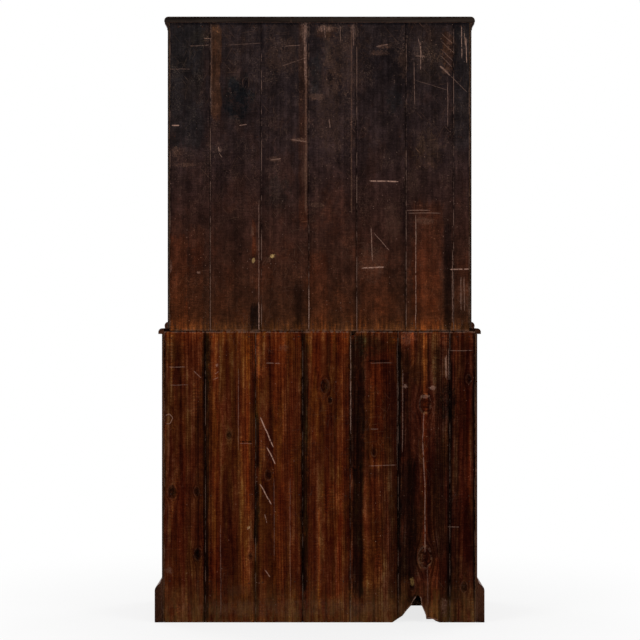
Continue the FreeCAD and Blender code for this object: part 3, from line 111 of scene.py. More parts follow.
BANDS = marks(
    Band,
    ("grey", 186, 19, 22, 150, 5, 0.6), ("grey", 462, 9, 22, 150, 5, 0.5),
    ("warm", 216, 5.5, 22, 122, 3, 1), ("light", 216, 5, 22, 118, 4, 0.35),
    ("worn", 211.6, 0.8, 24, 112, 1, 0.9), ("warm", 303, 4.5, 22, 230, 3, 0.7),
    ("pale", 305.4, 1.4, 22, 80, 2.5, 0.55), ("worn", 305.6, 1.2, 80, 215, 2.5, 1),
    ("light", 328, 3, 22, 60, 4, 0.4), ("worn", 351.5, 0.8, 24, 210, 1.5, 0.8),
    ("soot", 254.5, 5, 303, 333, 3, 1), ("soot", 448, 4.5, 225, 333, 3, 0.8),
    ("soot", 403, 3, 180, 333, 3, 0.35), ("soot", 298, 5, 280, 333, 4, 0.5),
    ("warm", 427, 16, 200, 333, 8, 0.7), ("warm", 177, 12, 235, 333, 9, 0.8),
    ("warm", 195, 9, 225, 333, 6, 0.4), ("warm", 318, 11, 250, 333, 9, 0.45),
    ("warm", 375, 16, 250, 333, 6, 0.35), ("warm", 254, 2, 220, 262, 2, 0.9),
    ("soot", 206.5, 4.5, 331, 382, 3, 1), ("soot", 206, 3.2, 378, 624, 1.5, 0.95),
    ("red", 227, 5, 340, 480, 4, 0.45), ("red", 218, 2, 465, 605, 2, 0.6),
    ("soot", 198, 1.6, 400, 600, 3, 0.5), ("light", 215, 3.4, 333, 600, 3, 0.6),
    ("light", 245, 5, 338, 600, 3, 0.6), ("light", 248, 1.6, 345, 520, 2, 0.5),
    ("soot", 228, 5.5, 350, 600, 5, 0.3), ("light", 257.6, 2, 333, 422, 2, 0.8),
    ("soot", 257, 2.2, 411, 471, 2, 1), ("soot", 256.5, 2.8, 483, 545, 3, 1),
    ("light", 279, 6, 340, 590, 4, 0.5), ("red", 291, 2, 340, 600, 3, 0.6),
    ("soot", 304.5, 4, 331, 592, 3, 1), ("soot", 329, 1.8, 331, 373, 1.5, 0.7),
    ("light", 316, 5, 345, 445, 3, 0.6), ("light", 319, 1.2, 505, 612, 1, 0.8),
    ("light", 340, 4, 370, 600, 3, 0.4), ("soot", 357.5, 8, 333, 472, 3, 1),
    ("soot", 358, 6, 465, 600, 5, 1), ("light", 376.5, 7, 362, 470, 4, 1),
    ("light", 372, 10, 475, 590, 5, 0.7), ("soot", 399, 2.4, 331, 600, 2, 0.9),
    ("soot", 408, 9, 458, 582, 5, 0.9), ("soot", 404, 6, 350, 460, 3, 0.6),
    ("soot", 440, 6, 345, 560, 4, 0.65), ("soot", 392.5, 4, 366, 600, 3, 0.55),
    ("soot", 371, 15, 331, 357, 3, 0.25), ("light", 413, 2.4, 331, 366, 2, 1),
    ("light", 425, 2.4, 335, 550, 3, 0.9), ("light", 423.5, 3.5, 331, 500, 5, 0.6),
    ("light", 434, 5, 555, 622, 4, 0.9), ("soot", 449.5, 2.8, 331, 600, 3, 0.8),
    ("red", 464, 8, 380, 560, 6, 0.7), ("warm", 468.5, 2, 398, 506, 4, 0.8),
    ("soot", 456.5, 3, 360, 600, 4, 0.5), ("light", 457, 2, 340, 420, 2, 0.7),
    ("soot", 475, 2, 331, 600, 2, 0.8), ("red", 178, 9, 400, 590, 6, 0.75),
    ("soot", 175, 8, 400, 480, 6, 0.3), ("red", 222, 6, 400, 465, 4, 0.7),
    ("red", 333, 9, 480, 600, 6, 0.8), ("soot", 330, 5, 485, 595, 5, 0.3),
)

PATCHES = marks(
    Patch,
    ("grey", 237, 100, 17, 26, 1), ("soot", 237, 100, 13, 22, 0.6), ("warm", 327, 31, 13, 9, 0.8),
    ("pale", 326, 28, 9, 4, 0.5), ("light", 430, 60, 22, 30, 0.4), ("light", 200, 36, 12, 8, 0.5),
    ("grey", 316, 75, 8, 26, 0.7), ("grey", 395, 100, 9, 18, 0.6), ("soot", 378, 62, 22, 26, 0.5),
    ("soot", 222, 178, 12, 20, 0.4), ("grey", 278, 195, 16, 22, 0.5), ("warm", 335, 205, 16, 36, 0.35),
    ("worn", 384, 46, 9, 2.6, 0.8), ("worn", 378, 53, 10, 3, 0.6), ("worn", 315, 97, 10, 4, 0.7),
    ("warm", 448, 50, 8, 24, 0.9), ("worn", 446, 71, 5, 3.4, 0.6), ("pale", 220, 150, 2.2, 3.2, 0.35),
    ("worn", 175, 151, 5, 6, 0.8), ("worn", 184, 165, 13, 2.5, 0.8), ("worn", 273, 159, 8, 3.5, 0.8),
    ("worn", 298, 140, 9, 2.4, 0.8), ("light", 428, 150, 16, 22, 0.7), ("worn", 252.6, 231, 1.9, 6, 1),
    ("bare", 272.5, 256, 3.6, 2, 0.8), ("bare", 253.4, 260.5, 1.6, 3, 0.4), ("worn", 268, 260, 3, 3, 0.7),
    ("soot", 240, 254, 2.2, 2.6, 0.9), ("pale", 170.5, 266, 2, 8, 0.45),
    ("pale", 198.7, 272.5, 2.6, 1.4, 0.6), ("worn", 318, 205, 9, 3, 0.7), ("worn", 425, 221, 11, 4, 0.7),
    ("worn", 463, 294, 5, 18, 0.45), ("soot", 378, 361, 13, 1.6, 1), ("soot", 170, 350, 12, 15, 0.5),
    ("soot", 246, 441.6, 7.5, 1.1, 1), ("light", 388, 350, 9, 9, 0.5), ("grey", 371, 345, 24, 13, 1),
    ("soot", 415, 600, 8, 6, 0.9), ("soot", 448, 402, 10, 22, 0.9), ("light", 343, 345, 8, 12, 0.5),
    ("soot", 197, 556, 5, 7, 0.8), ("soot", 172, 492, 5, 7, 0.5), ("light", 406, 338, 13, 8, 1),
    ("worn", 408, 337, 11, 8, 0.5), ("light", 258, 360, 5, 28, 0.7), ("worn", 258, 358, 4, 22, 0.3),
    ("pale", 305, 32, 5, 10, 0.3), ("pale", 354, 32, 5, 9, 0.25), ("worn", 305.5, 170, 5, 18, 0.4),
    ("worn", 392, 222, 10, 22, 0.3), ("warm", 198, 256, 8, 16, 0.5), ("light", 354, 593, 5, 7, 0.6),
    ("soot", 354, 609, 5, 9, 0.5), ("worn", 403, 64, 6, 14, 0.35), ("worn", 412, 184, 8, 14, 0.25),
    ("pale", 405.5, 386, 2.8, 2.8, 0.75), ("pale", 217, 365, 1.5, 1.5, 0.7),
    ("bare", 248.7, 527.4, 2, 1.7, 0.55), ("pale", 432.5, 388, 3.6, 2.2, 0.7),
    ("pale", 426, 396.5, 5, 2.2, 0.7), ("worn", 284, 347, 5, 4, 0.5), ("red", 180, 422, 7, 5, 0.5),
    ("red", 330, 535, 8, 11, 0.45), ("worn", 169, 570, 4.5, 4, 0.8), ("light", 353.5, 580, 3, 7, 0.9),
    ("worn", 444, 606, 3.5, 11, 0.9), ("worn", 280, 55, 22, 22, 0.3), ("worn", 345, 60, 26, 34, 0.3),
    ("worn", 330, 110, 16, 60, 0.3), ("worn", 300, 608, 140, 9, 0.25), ("worn", 372, 262, 16, 20, 0.35),
    ("worn", 470, 300, 4, 26, 0.35), ("worn", 240, 590, 15, 7, 0.15), ("dust", 412.3, 582, 2.6, 5, 0.95),
)

KNOTS = marks(
    Knot,
    (198, 554, 4), (172, 492, 4.5), (229, 435, 3), (196.5, 491.5, 3), (250.5, 556, 2), (268, 475, 3.5),
    (325, 386, 4.5), (330, 400, 2.5), (425, 404, 6, 0.3, 0.3), (425, 557, 7, 0.25, 0.35), (412, 586, 3),
    (468.5, 379, 3), (464, 587, 3.5), (374, 452, 3), (330, 78, 4), (246, 83, 3.5),
)

SCRATCHES = marks(
    Scratch,
    (370, 181, 398, 181.5, 1.7, 0.9), (407, 210, 430, 210.5, 1, 0.4), (408, 213, 441, 213, 0.9, 0.35),
    (415.8, 215, 415.8, 329, 0.9, 0.7), (362, 268, 384, 267, 1.6, 0.85), (450, 269.5, 469, 269, 1.6, 0.8),
    (452.5, 250, 452.5, 322, 0.8, 0.5), (308.8, 289, 308.8, 330, 1, 0.85),
    (371, 227, 372.5, 261, 0.9, 0.55), (374, 233, 389, 250, 0.9, 0.45),
    (258.8, 200, 258.8, 302, 0.9, 0.35), (258.9, 302, 258.9, 330, 1.2, 0.75),
    (461.5, 26, 462, 58, 0.9, 0.75), (464.5, 33, 465.5, 46, 0.9, 0.65), (466, 38, 466.8, 63, 1.1, 0.8),
    (447.6, 82, 447.8, 127, 0.8, 0.4), (420.5, 42, 420.5, 70, 0.9, 0.6), (415, 56, 425, 56, 0.9, 0.5),
    (414, 62, 414.5, 104, 0.9, 0.35), (418, 38, 423, 60, 0.8, 0.5), (415, 80, 447, 90, 0.7, 0.22),
    (450, 75, 467, 92, 0.8, 0.3), (441, 33, 453, 44, 0.9, 0.25), (441, 41, 454, 53, 0.9, 0.25),
    (441, 49, 453, 61, 0.9, 0.25), (441, 56, 452, 67, 0.9, 0.25), (440, 66, 450, 75, 2.2, 0.45),
    (340, 26, 340.5, 42, 0.9, 0.3), (353, 24, 353.5, 46, 0.9, 0.35), (376, 46.5, 388, 44.5, 1.3, 0.4),
    (329, 119, 330, 128, 1.4, 0.4), (218.5, 147, 219.5, 154, 1.2, 0.5), (219.5, 154, 222, 157, 1.1, 0.4),
    (290, 139, 307, 142, 1.2, 0.35), (271, 160, 281, 158.5, 1.3, 0.4), (324, 25, 325.5, 38, 1.1, 0.4),
    (464, 277, 464.5, 311, 1.0, 0.35), (285, 46, 300, 45, 0.9, 0.35), (228, 45, 262, 43, 0.8, 0.2),
    (168, 69, 190, 69, 0.8, 0.25), (282, 66, 305, 58, 0.8, 0.25), (190, 46, 210, 45, 0.9, 0.35),
    (204, 38.5, 211, 38.5, 1, 0.5), (172, 125.5, 179, 125.5, 1.6, 0.85),
    (239.5, 125.5, 247, 124.5, 1.1, 0.5), (461, 277, 461, 310, 0.8, 0.5),
    (260.5, 417.5, 273.5, 447.5, 1.5, 1), (266.8, 447, 275.3, 464, 1.4, 0.95),
    (260.2, 484, 271, 504, 1.4, 1), (264.8, 514, 267, 523, 1, 0.55), (169, 367, 185, 367, 1, 0.35),
    (170, 385, 188, 385, 0.9, 0.3), (194, 371, 201, 378, 1.1, 0.4), (266, 363, 280, 363.5, 1, 0.45),
    (350.6, 337, 350.9, 434, 0.8, 0.65), (369, 466, 396, 465, 1, 0.35), (371, 429, 378, 429, 1, 0.3),
    (370, 363, 393, 363, 1, 0.2), (247.5, 529.5, 250, 526.5, 1.2, 0.6),
    (240, 443.4, 252, 443.6, 0.9, 0.3), (424, 412, 422.6, 440, 1.2, 0.35),
    (422.6, 440, 425, 488, 1.5, 0.4), (425, 488, 425, 552, 1.2, 0.45), (448, 527, 459, 527, 0.9, 0.35),
    (446.5, 355, 447, 380, 1.1, 0.35), (265, 570, 270, 577, 1.3, 0.5), (450, 350.5, 473, 350.5, 0.9, 0.3),
    (427.3, 565, 428, 605, 0.9, 0.2), (445.5, 357, 446, 378, 1.2, 0.5), (449, 348, 449, 380, 0.9, 0.45),
    (397.4, 338, 397.2, 470, 0.8, 0.3), (402.6, 370, 402.6, 452, 0.9, 0.35),
    (220.5, 525, 220.8, 615, 1, 0.2), (274, 478, 274.2, 560, 0.9, 0.2), (290, 478, 290.4, 600, 0.9, 0.22),
    (238.4, 368, 238.4, 450, 0.9, 0.25), (166, 415.5, 169.5, 414, 1, 0.45),
    (169.5, 414, 172.6, 418, 1, 0.45), (172.6, 418, 170, 423.5, 1, 0.45),
    (170, 423.5, 166.5, 424, 1, 0.4), (213, 380, 218, 377.5, 1, 0.4), (215, 374, 218.5, 371.5, 0.9, 0.35),
    (404, 612.5, 411, 605, 1.6, 0.35), (411, 605, 416, 596.5, 1.6, 0.4),
    (420.6, 596.5, 422, 605, 1.8, 0.4), (422, 605, 426.5, 617, 1.8, 0.4),
    (427, 617.5, 438, 620, 1.6, 0.35),
)


def on_back(x, y):
    """The place on the back that a pixel of the photo shows."""
    return Vector(((PHOTO_MIDDLE - x) * PIXEL, BACK_Y, (PHOTO_FOOT - y) * PIXEL))


def screen(red, green, blue):
    """A linear colour from screen values of 0 to 255."""
    return (*Color((red / 255, green / 255, blue / 255)).from_srgb_to_scene_linear(), 1.0)


def colour_setting(name, default, description):
    return bpy.props.FloatVectorProperty(
        name=name, description=description, subtype="COLOR", size=4, min=0, max=1, default=default
    )


def shade(name, levels, description):
    """A colour that hides what it covers, from its screen values."""
    return colour_setting(name, screen(*levels), description)


def tint(name, shares, description):
    """A colour that multiplies what it covers: a half leaves it as it is, one doubles it."""
    return colour_setting(name, (*shares, 1.0), description)


def measure(name, default, description):
    """A length property."""
    return bpy.props.FloatProperty(
        name=name, description=description, default=default, min=0, unit="LENGTH", subtype="DISTANCE"
    )


class DresserColours(bpy.types.PropertyGroup):
    """Colours of the finishes."""

    # This tint also paints the shadow under the cornice.
    soot: tint("Soot", (0.12, 0.15, 0.2), "Blackened stain in streaks and patches of the back")
    grey: tint("Grey dirt", (0.32, 0.48, 0.52), "Grey dirt high on the upper back")
    warm: tint("Warm stain", (0.82, 0.6, 0.42), "Stain that shows brown, low on the upper back")
    red: tint("Red stain", (0.44, 0.27, 0.25), "Reddish stain in the lower back")
    yellow: tint("Yellowed stain", (0.48, 0.6, 0.45), "Where the stain of the lower back turns yellow")
    light: tint("Light streak", (1.0, 0.95, 0.7), "Where the stain of the back is thinnest")
    worn: shade("Worn stain", (100, 72, 58), "Stain that is rubbed nearly through")
    pale: shade("Scratch", (162, 126, 110), "Scratches and scuffs")
    bare: shade("Bare wood", (182, 148, 96), "Fresh chips")
    dust: shade("Dust", (90, 67, 36), "Dirt and dust along the foot and on ledges")
    stain_early: shade("Front stain, soft wood", (92, 45, 20), "Stained case and doors, between the rings")
    stain_late: shade("Front stain, rings", (36, 14, 8), "Stained case and doors, in the rings")
    base_edge_early: shade("Base edge, soft wood", (66, 38, 24), "Edges of the base that face back")
    base_edge_late: shade("Base edge, rings", (30, 14, 9), "Rings in the edges of the base that face back")
    top_edge_early: shade("Top edge, soft wood", (46, 37, 32), "Edges of the upper section that face back")
    top_edge_late: shade("Top edge, rings", (18, 13, 12), "Rings in the upper edges that face back")
    inside_early: shade("Inside, soft wood", (158, 116, 72), "Unstained boards inside")
    inside_late: shade("Inside, rings", (118, 74, 38), "Rings of the unstained boards")
    drawer_early: shade("Drawer, soft wood", (178, 138, 92), "Drawer boxes")
    drawer_late: shade("Drawer, rings", (140, 94, 52), "Rings of the drawer boxes")
    brass: shade("Brass", (196, 152, 84), "Rubbed brass")
    patina: shade("Patina", (92, 66, 34), "Dull brass")
    iron: shade("Iron", (34, 20, 15), "Nail heads")
    rust: shade("Rust", (58, 28, 14), "Rust on the nail heads")
    floor: shade("Floor", (238, 238, 238), "Studio floor")


class DresserSizes(bpy.types.PropertyGroup):
    """Sizes of wear and fastenings."""

    arris: measure("Arris", 0.0012, "Width of the rounding along worn edges")
    fine_arris: measure("Fine arris", 0.0006, "Width of the rounding on thin pieces")
    wear: measure("Wear", 0.0045, "How far the stain is rubbed back from an edge")
    ring: measure("Ring", 0.0065, "Width of a growth ring")
    nail_radius: measure("Nail radius", 0.0022, "Radius of a nail head in the back")
    nail_inset: measure("Nail inset", 0.022, "From a board's edge to its nails")
    peg_radius: measure("Peg radius", 0.0042, "Radius of a peg through a tenon")
    peg_inset: measure("Peg inset", 0.013, "From a rail's end to its peg")
    proud: measure("Proud", 0.0005, "How far the rim of a peg or nail head stands proud")
    proud_top: measure("Proud top", 0.0007, "How far the top of a peg or nail head stands proud")


class DresserStage(bpy.types.PropertyGroup):
    """Camera, lamps and floor."""

    distance: measure("Camera distance", 5.87, "From the camera to the plane of the back")
    floor_size: measure("Floor size", 160, "Side of the floor")
    lamp_distance: measure("Lamp distance", 3.6, "How far the lamps stand from the middle, both ways")
    lamp_height: measure("Lamp height", 2.9, "Height of the lamps")
    lamp_size: measure("Lamp size", 2.4, "Side of a lamp")
    lamp_power: bpy.props.FloatProperty(
        name="Lamp power", description="Power of each lamp", default=85, min=0, unit="POWER"
    )
    ambient: bpy.props.FloatProperty(
        name="Ambient", description="Strength of the light from all round", default=0.5, min=0, max=1
    )


def tone(name):
    """One of the dresser's colours."""
    return tuple(getattr(bpy.context.scene.dresser_colours, name))


def times(share, colour):
    """A colour made lighter or darker."""
    return (*(share * level for level in colour[:3]), 1.0)


def sizes():
    return bpy.context.scene.dresser_sizes


def stage_sizes():
    return bpy.context.scene.dresser_stage


# Shader nodes.

# The attribute that holds each vertex's place in the wood.
GRAIN = "grain"
NODE_STEP = 190
RAY_SAMPLES = 6
NUMBER, VECTOR = "NodeSocketFloat", "NodeSocketVector"
HALF = 0.5
ORIGIN = (0.0, 0.0, 0.0)
MIDDLE = (HALF, HALF, HALF)
WHITE = (1, 1, 1, 1)


class Value:
    """What a node puts out. A sum or product with it is a further node."""

    def __init__(self, nodes, socket):
        self.nodes = nodes
        self.socket = socket
        self.is_vector = socket.type in ("VECTOR", "RGBA")

    def __add__(self, other):
        return self.nodes.maths("ADD", self, other)

    def __radd__(self, other):
        return self.nodes.maths("ADD", other, self)

    def __sub__(self, other):
        return self.nodes.maths("SUBTRACT", self, other)

    def __rsub__(self, other):
        return self.nodes.maths("SUBTRACT", other, self)

    def __mul__(self, other):
        if self.is_vector and not getattr(other, "is_vector", isinstance(other, tuple)):
            feeds = {"Vector": self, "Scale": other}
            return self.nodes.value("ShaderNodeVectorMath", 0, feeds, operation="SCALE")
        return self.nodes.maths("MULTIPLY", self, other)

    def __truediv__(self, other):
        return self.nodes.maths("DIVIDE", self, other)


class Nodes:
    """Adds linked nodes to one tree."""

    def __init__(self, tree):
        self.tree = tree

    def feed(self, sockets, feeds):
        """Links or sets each named or numbered socket."""
        for socket, source in feeds.items():
            if isinstance(source, Value):
                self.tree.links.new(source.socket, sockets[socket])
            else:
                sockets[socket].default_value = source

    def add(self, kind, feeds, **settings):
        node = self.tree.nodes.new(kind)
        node.location = (NODE_STEP * len(self.tree.nodes), 0)
        for name, setting in settings.items():
            setattr(node, name, setting)
        self.feed(node.inputs, feeds)
        return node

    def value(self, kind, output, feeds=None, **settings):
        """Adds a node and gives one of its outputs."""
        return Value(self, self.add(kind, feeds or {}, **settings).outputs[output])

    def maths(self, operation, *sources):
        """Works on numbers, or on vectors where the first source is one."""
        kind = "ShaderNodeVectorMath" if getattr(sources[0], "is_vector", False) else "ShaderNodeMath"
        return self.value(kind, 0, dict(enumerate(sources)), operation=operation)

    def measured(self, operation, *sources):
        """A vector operation that comes to one number."""
        return self.value("ShaderNodeVectorMath", "Value", dict(enumerate(sources)), operation=operation)

    def part(self, source, axis):
        return self.value("ShaderNodeSeparateXYZ", axis, {"Vector": source})

    def rise(self, source, low, high):
        """0 below low, 1 above high, smooth between."""
        feeds = {"Value": source, "From Min": low, "From Max": high}
        return self.value("ShaderNodeMapRange", "Result", feeds, interpolation_type="SMOOTHSTEP")

    def fall(self, source, low, high):
        """1 below low, 0 above high, smooth between."""
        return 1 - self.rise(source, low, high)

    def noise(self, place, stretch, detail=2, roughness=HALF, output="Fac"):
        """Noise with so many lumps for each metre, along all axes or along each."""
        feeds = {"Vector": place * stretch, "Scale": 1, "Detail": detail, "Roughness": roughness}
        return self.value("ShaderNodeTexNoise", output, feeds)

    def lumps(self, place, stretch, low, high, detail=2, roughness=HALF):
        """A mask of the places where noise is high."""
        return self.rise(self.noise(place, stretch, detail, roughness), low, high)

    def drift(self, place, stretch):
        """A vector that wanders from place to place, up to half of one each way."""
        return self.noise(place, stretch, output="Color") - MIDDLE

    def blend(self, factor, under, over, how="MIX"):
        feeds = {0: factor, 6: under, 7: over}
        return self.value("ShaderNodeMix", 2, feeds, data_type="RGBA", blend_type=how)

    def ramp(self, source, *stops):
        """Screen values or a grey for each stop along a value."""
        node = self.add("ShaderNodeValToRGB", {"Fac": source})
        elements = node.color_ramp.elements
        elements.remove(elements[1])
        for index, (place, level) in enumerate(stops):
            element = elements.new(place) if index else elements[0]
            element.position = place
            element.color = screen(*level) if isinstance(level, tuple) else (level, level, level, 1)
        return Value(self, node.outputs["Color"])

    def bump(self, height, distance, strength=1.0):
        feeds = {"Height": height, "Distance": distance, "Strength": strength}
        return self.value("ShaderNodeBump", "Normal", feeds)

    def grain_place(self):
        return self.value("ShaderNodeAttribute", "Vector", attribute_name=GRAIN)

    def object_place(self):
        return self.value("ShaderNodeTexCoord", "Object")

    def facing(self):
        return self.value("ShaderNodeNewGeometry", "Normal")


def shared_group(name, inputs, *outputs, vectors=()):
    """Makes a function that adds nodes into one that places them as a group, which is built once.

    Inputs have defaults. What the function gives is put out as numbers, but for the outputs in vectors.
    """
    made_type = namedtuple("Made", [output.lower().replace(" ", "_") for output in outputs])

    def build_tree(build):
        tree = bpy.data.node_groups.new(name, "ShaderNodeTree")
        for socket, default in inputs.items():
            kind = VECTOR if isinstance(default, tuple) else NUMBER
            tree.interface.new_socket(socket, in_out="INPUT", socket_type=kind).default_value = default
        for socket in outputs:
            kind = VECTOR if socket in vectors else NUMBER
            tree.interface.new_socket(socket, in_out="OUTPUT", socket_type=kind)
        nodes = Nodes(tree)
        fed = nodes.add("NodeGroupInput", {}).outputs
        made = build(nodes, *(Value(nodes, fed[socket]) for socket in inputs))
        nodes.add("NodeGroupOutput", dict(zip(outputs, made if isinstance(made, tuple) else (made,))))
        return tree

    def wrap(build):
        def place_group(nodes, *sources):
            tree = bpy.data.node_groups.get(name) or build_tree(build)
            node = nodes.add("ShaderNodeGroup", dict(zip(inputs, sources)), node_tree=tree)
            made = made_type(*(Value(nodes, node.outputs[output]) for output in outputs))
            return made if len(outputs) > 1 else made[0]

        return place_group

    return wrap


@shared_group(
    "Pine grain",
    {"Place": ORIGIN, "Ring Width": 0.0065, "Waviness": 0.03},
    "Rings", "Streaks", "Fibres", "Tone",
)
def pine_grain(nodes, place, ring_width, waviness):
    """Rings round a pith, fibres and broad tones; the grain runs along the place's Z."""
    bent = place + nodes.drift(place, (4, 4, 0.8)) * waviness
    bent = bent + nodes.drift(place, (28, 28, 4)) * (waviness * 0.12)
    lean = nodes.part(place, "Z") * 0.012
    turns = (nodes.measured("LENGTH", bent * (1, 1, 0)) + lean) / ring_width
    turned = nodes.maths("FRACT", turns)
    rings = nodes.ramp(turned, (0, 0.05), (HALF, 0.2), (0.86, 1), (0.93, 0.95), (1, 0.05))
    streaks = nodes.noise(place, (95, 95, 1.1), 4, 0.62)
    fibres = nodes.noise(place, (420, 420, 7), 2, 0.6)
    return rings, streaks, fibres, nodes.noise(place, (9, 9, 1.2), 3)


@shared_group("Edge wear", {"Place": ORIGIN, "Width": 0.003}, "Mask")
def edge_wear(nodes, place, width):
    """Where the stain is rubbed off along edges."""
    rounded = nodes.value("ShaderNodeBevel", "Normal", {"Radius": width}, samples=RAY_SAMPLES)
    turned = 1 - nodes.measured("DOT_PRODUCT", rounded, nodes.facing())
    broken = nodes.lumps(place, 36, 0.38, 0.62, 5, 0.65)
    return nodes.rise(turned * broken, 0.02, 0.16)


@shared_group("Board scratch", {"Place": ORIGIN, "From": ORIGIN, "To": ORIGIN, "Width": 0.002}, "Mask")
def board_scratch(nodes, place, start, end, width):
    """One scratch from a place to another, unsteady and broken along its way, with thin ends."""
    way = end - start
    gone = (place - start + nodes.drift(place, 30) * 0.004) * (1, 0, 1)
    share = nodes.measured("DOT_PRODUCT", gone, way) / nodes.measured("DOT_PRODUCT", way, way)
    share = nodes.maths("MINIMUM", nodes.maths("MAXIMUM", share, 0), 1)
    off = nodes.measured("DISTANCE", gone, way * share)
    taper = 0.45 + nodes.rise(share * (1 - share), 0, 0.12)
    width = width * nodes.maths("MINIMUM", taper, 1.1)
    broken = nodes.lumps(place, 110, 0.3, 0.54, 3, 0.7)
    return nodes.fall(off, width * 0.3, width) * broken


def torn(nodes, place, mask, fine, coarse, tear):
    """A soft mask that is broken by noise of two sizes; a low tear breaks its edges alone."""
    made = mask * (1.2 - HALF * tear)
    for stretch in (fine, coarse):
        made = made + (nodes.noise(place, stretch, 4, 0.7) - HALF) * (1.8 * tear)
    return nodes.rise(made, 0.3, 0.8) * nodes.rise(mask, 0, 0.35)


@shared_group(
    "Board band",
    {"Place": ORIGIN, "Middle": 0.0, "Half Width": 0.01, "Low": 0.0, "High": 1.0, "Ragged": 0.01},
    "Mask",
)
def board_band(nodes, place, middle, half_width, low, high, ragged):
    """An upright streak with ragged edges and soft ends."""
    x, z = nodes.part(place, "X"), nodes.part(place, "Z")
    wander = (nodes.noise(place, (14, 14, 11), 4, 0.6) - HALF) * ragged
    off = nodes.maths("ABSOLUTE", x - middle + wander)
    soft = 0.03
    mask = nodes.fall(off, half_width * 0.5, half_width * 1.5) * nodes.rise(z, low - soft, low + soft)
    mask = mask * nodes.fall(z, high - soft, high + soft)
    return torn(nodes, place, mask, (260, 260, 30), (60, 60, 16), 0.75)


@shared_group("Board patch", {"Place": ORIGIN, "Centre": ORIGIN, "Size": (0.01, 1.0, 0.01)}, "Mask")
def board_patch(nodes, place, centre, size):
    """A patch with a ragged outline."""
    mask = nodes.fall(nodes.measured("LENGTH", (place - centre) / size), 0.4, 1.5)
    return torn(nodes, place, mask, (240, 240, 150), (55, 55, 40), 1)


@shared_group(
    "Board knot",
    {"Place": ORIGIN, "Centre": ORIGIN, "Radius": 0.01},
    "Core", "Halo", "Rim", "Rings", "Bend",
    vectors=("Bend",),
)
def board_knot(nodes, place, centre, radius):
    """A knot: its dark core, its rings, and how it bends the grain that passes it."""
    flat = (place - centre) * (1, 0, 0.62)
    rough = nodes.noise(place, 90, 3)
    off = nodes.measured("LENGTH", flat) / radius + (rough - HALF) * HALF
    reach = nodes.maths("POWER", 2.0, off * off * -0.5)
    bend = nodes.maths("NORMALIZE", flat) * (reach * radius) * (-1.6, 0, 0)
    rim = nodes.rise(off, 0.75, 0.95) * nodes.fall(off, 0.95, 1.2) * nodes.rise(rough, 0.4, 0.6)
    return nodes.fall(off, 0.5, 0.95), nodes.fall(off, 0.9, 1.7), rim, nodes.maths("SINE", off * 13), bend


@shared_group("Scuffs", {"Place": ORIGIN}, "Mask")
def scuffs(nodes, place):
    """Hairline scratches in several directions, gathered in places."""
    made = 0.0
    for angle, seed in ((0.1, 3.0), (1.45, 7.0), (-0.7, 11.0), (0.45, 17.0)):
        mapping = {"Vector": place, "Location": (seed, 0, seed), "Rotation": (0, angle, 0)}
        turned = nodes.value("ShaderNodeMapping", 0, mapping)
        made = nodes.maths("MAXIMUM", made, nodes.lumps(turned, (560, 14, 22), 0.77, 0.85, 0))
    return made * nodes.lumps(place, 7, 0.42, 0.6, 3)


@shared_group("Flecks", {"Place": ORIGIN, "Density": 0.3}, "Mask")
def flecks(nodes, place, density):
    """Small spots where the stain has flaked off."""
    cells = nodes.add("ShaderNodeTexVoronoi", {"Vector": place, "Scale": 130, "Randomness": 1}).outputs
    spot = nodes.fall(Value(nodes, cells["Distance"]), 0.05, 0.24)
    picked = nodes.part(Value(nodes, cells["Color"]), "X")
    chosen = nodes.maths("GREATER_THAN", picked, 1 - density)
    return spot * chosen * nodes.lumps(place, (11, 11, 8), 0.42, 0.6, 4)


@shared_group("Board texture", {"Place": ORIGIN}, "Clouds", "Blotches", "Mottle", "Grit", "Lines", "Sawn")
def board_texture(nodes, place):
    """What makes a stained board uneven, down to the cross lines and the marks of the saw."""
    bow = nodes.noise(place, (30, 30, 12))
    turns = (nodes.part(place, "Z") + bow * 0.02) * 600
    sawn = nodes.rise(nodes.maths("SINE", turns), -0.3, 0.9)
    return (
        nodes.noise(place, (26, 26, 2.6), 4, 0.62),
        nodes.noise(place, (24, 24, 17), 5, 0.62),
        nodes.noise(place, (90, 90, 40), 4, 0.7),
        nodes.noise(place, (260, 260, 230), 3, 0.75),
        nodes.noise(place, (40, 40, 280)),
        sawn * nodes.lumps(place, (48, 48, 6), 0.55, 0.68, 3),
    )


@shared_group("Rubbed clusters", {"Place": ORIGIN}, "Mask", "Dashes")
def rubbed_clusters(nodes, place):
    """Clusters of short rubbed dashes, along the grain and across it."""
    across = nodes.lumps(place, (110, 110, 380), 0.54, 0.68, 3, 0.7)
    upright = nodes.lumps(place, (380, 380, 90), 0.56, 0.7, 3, 0.7)
    dashes = nodes.maths("MAXIMUM", across, upright)
    return nodes.lumps(place, (17, 17, 12), 0.47, 0.66, 5, 0.65) * dashes, dashes


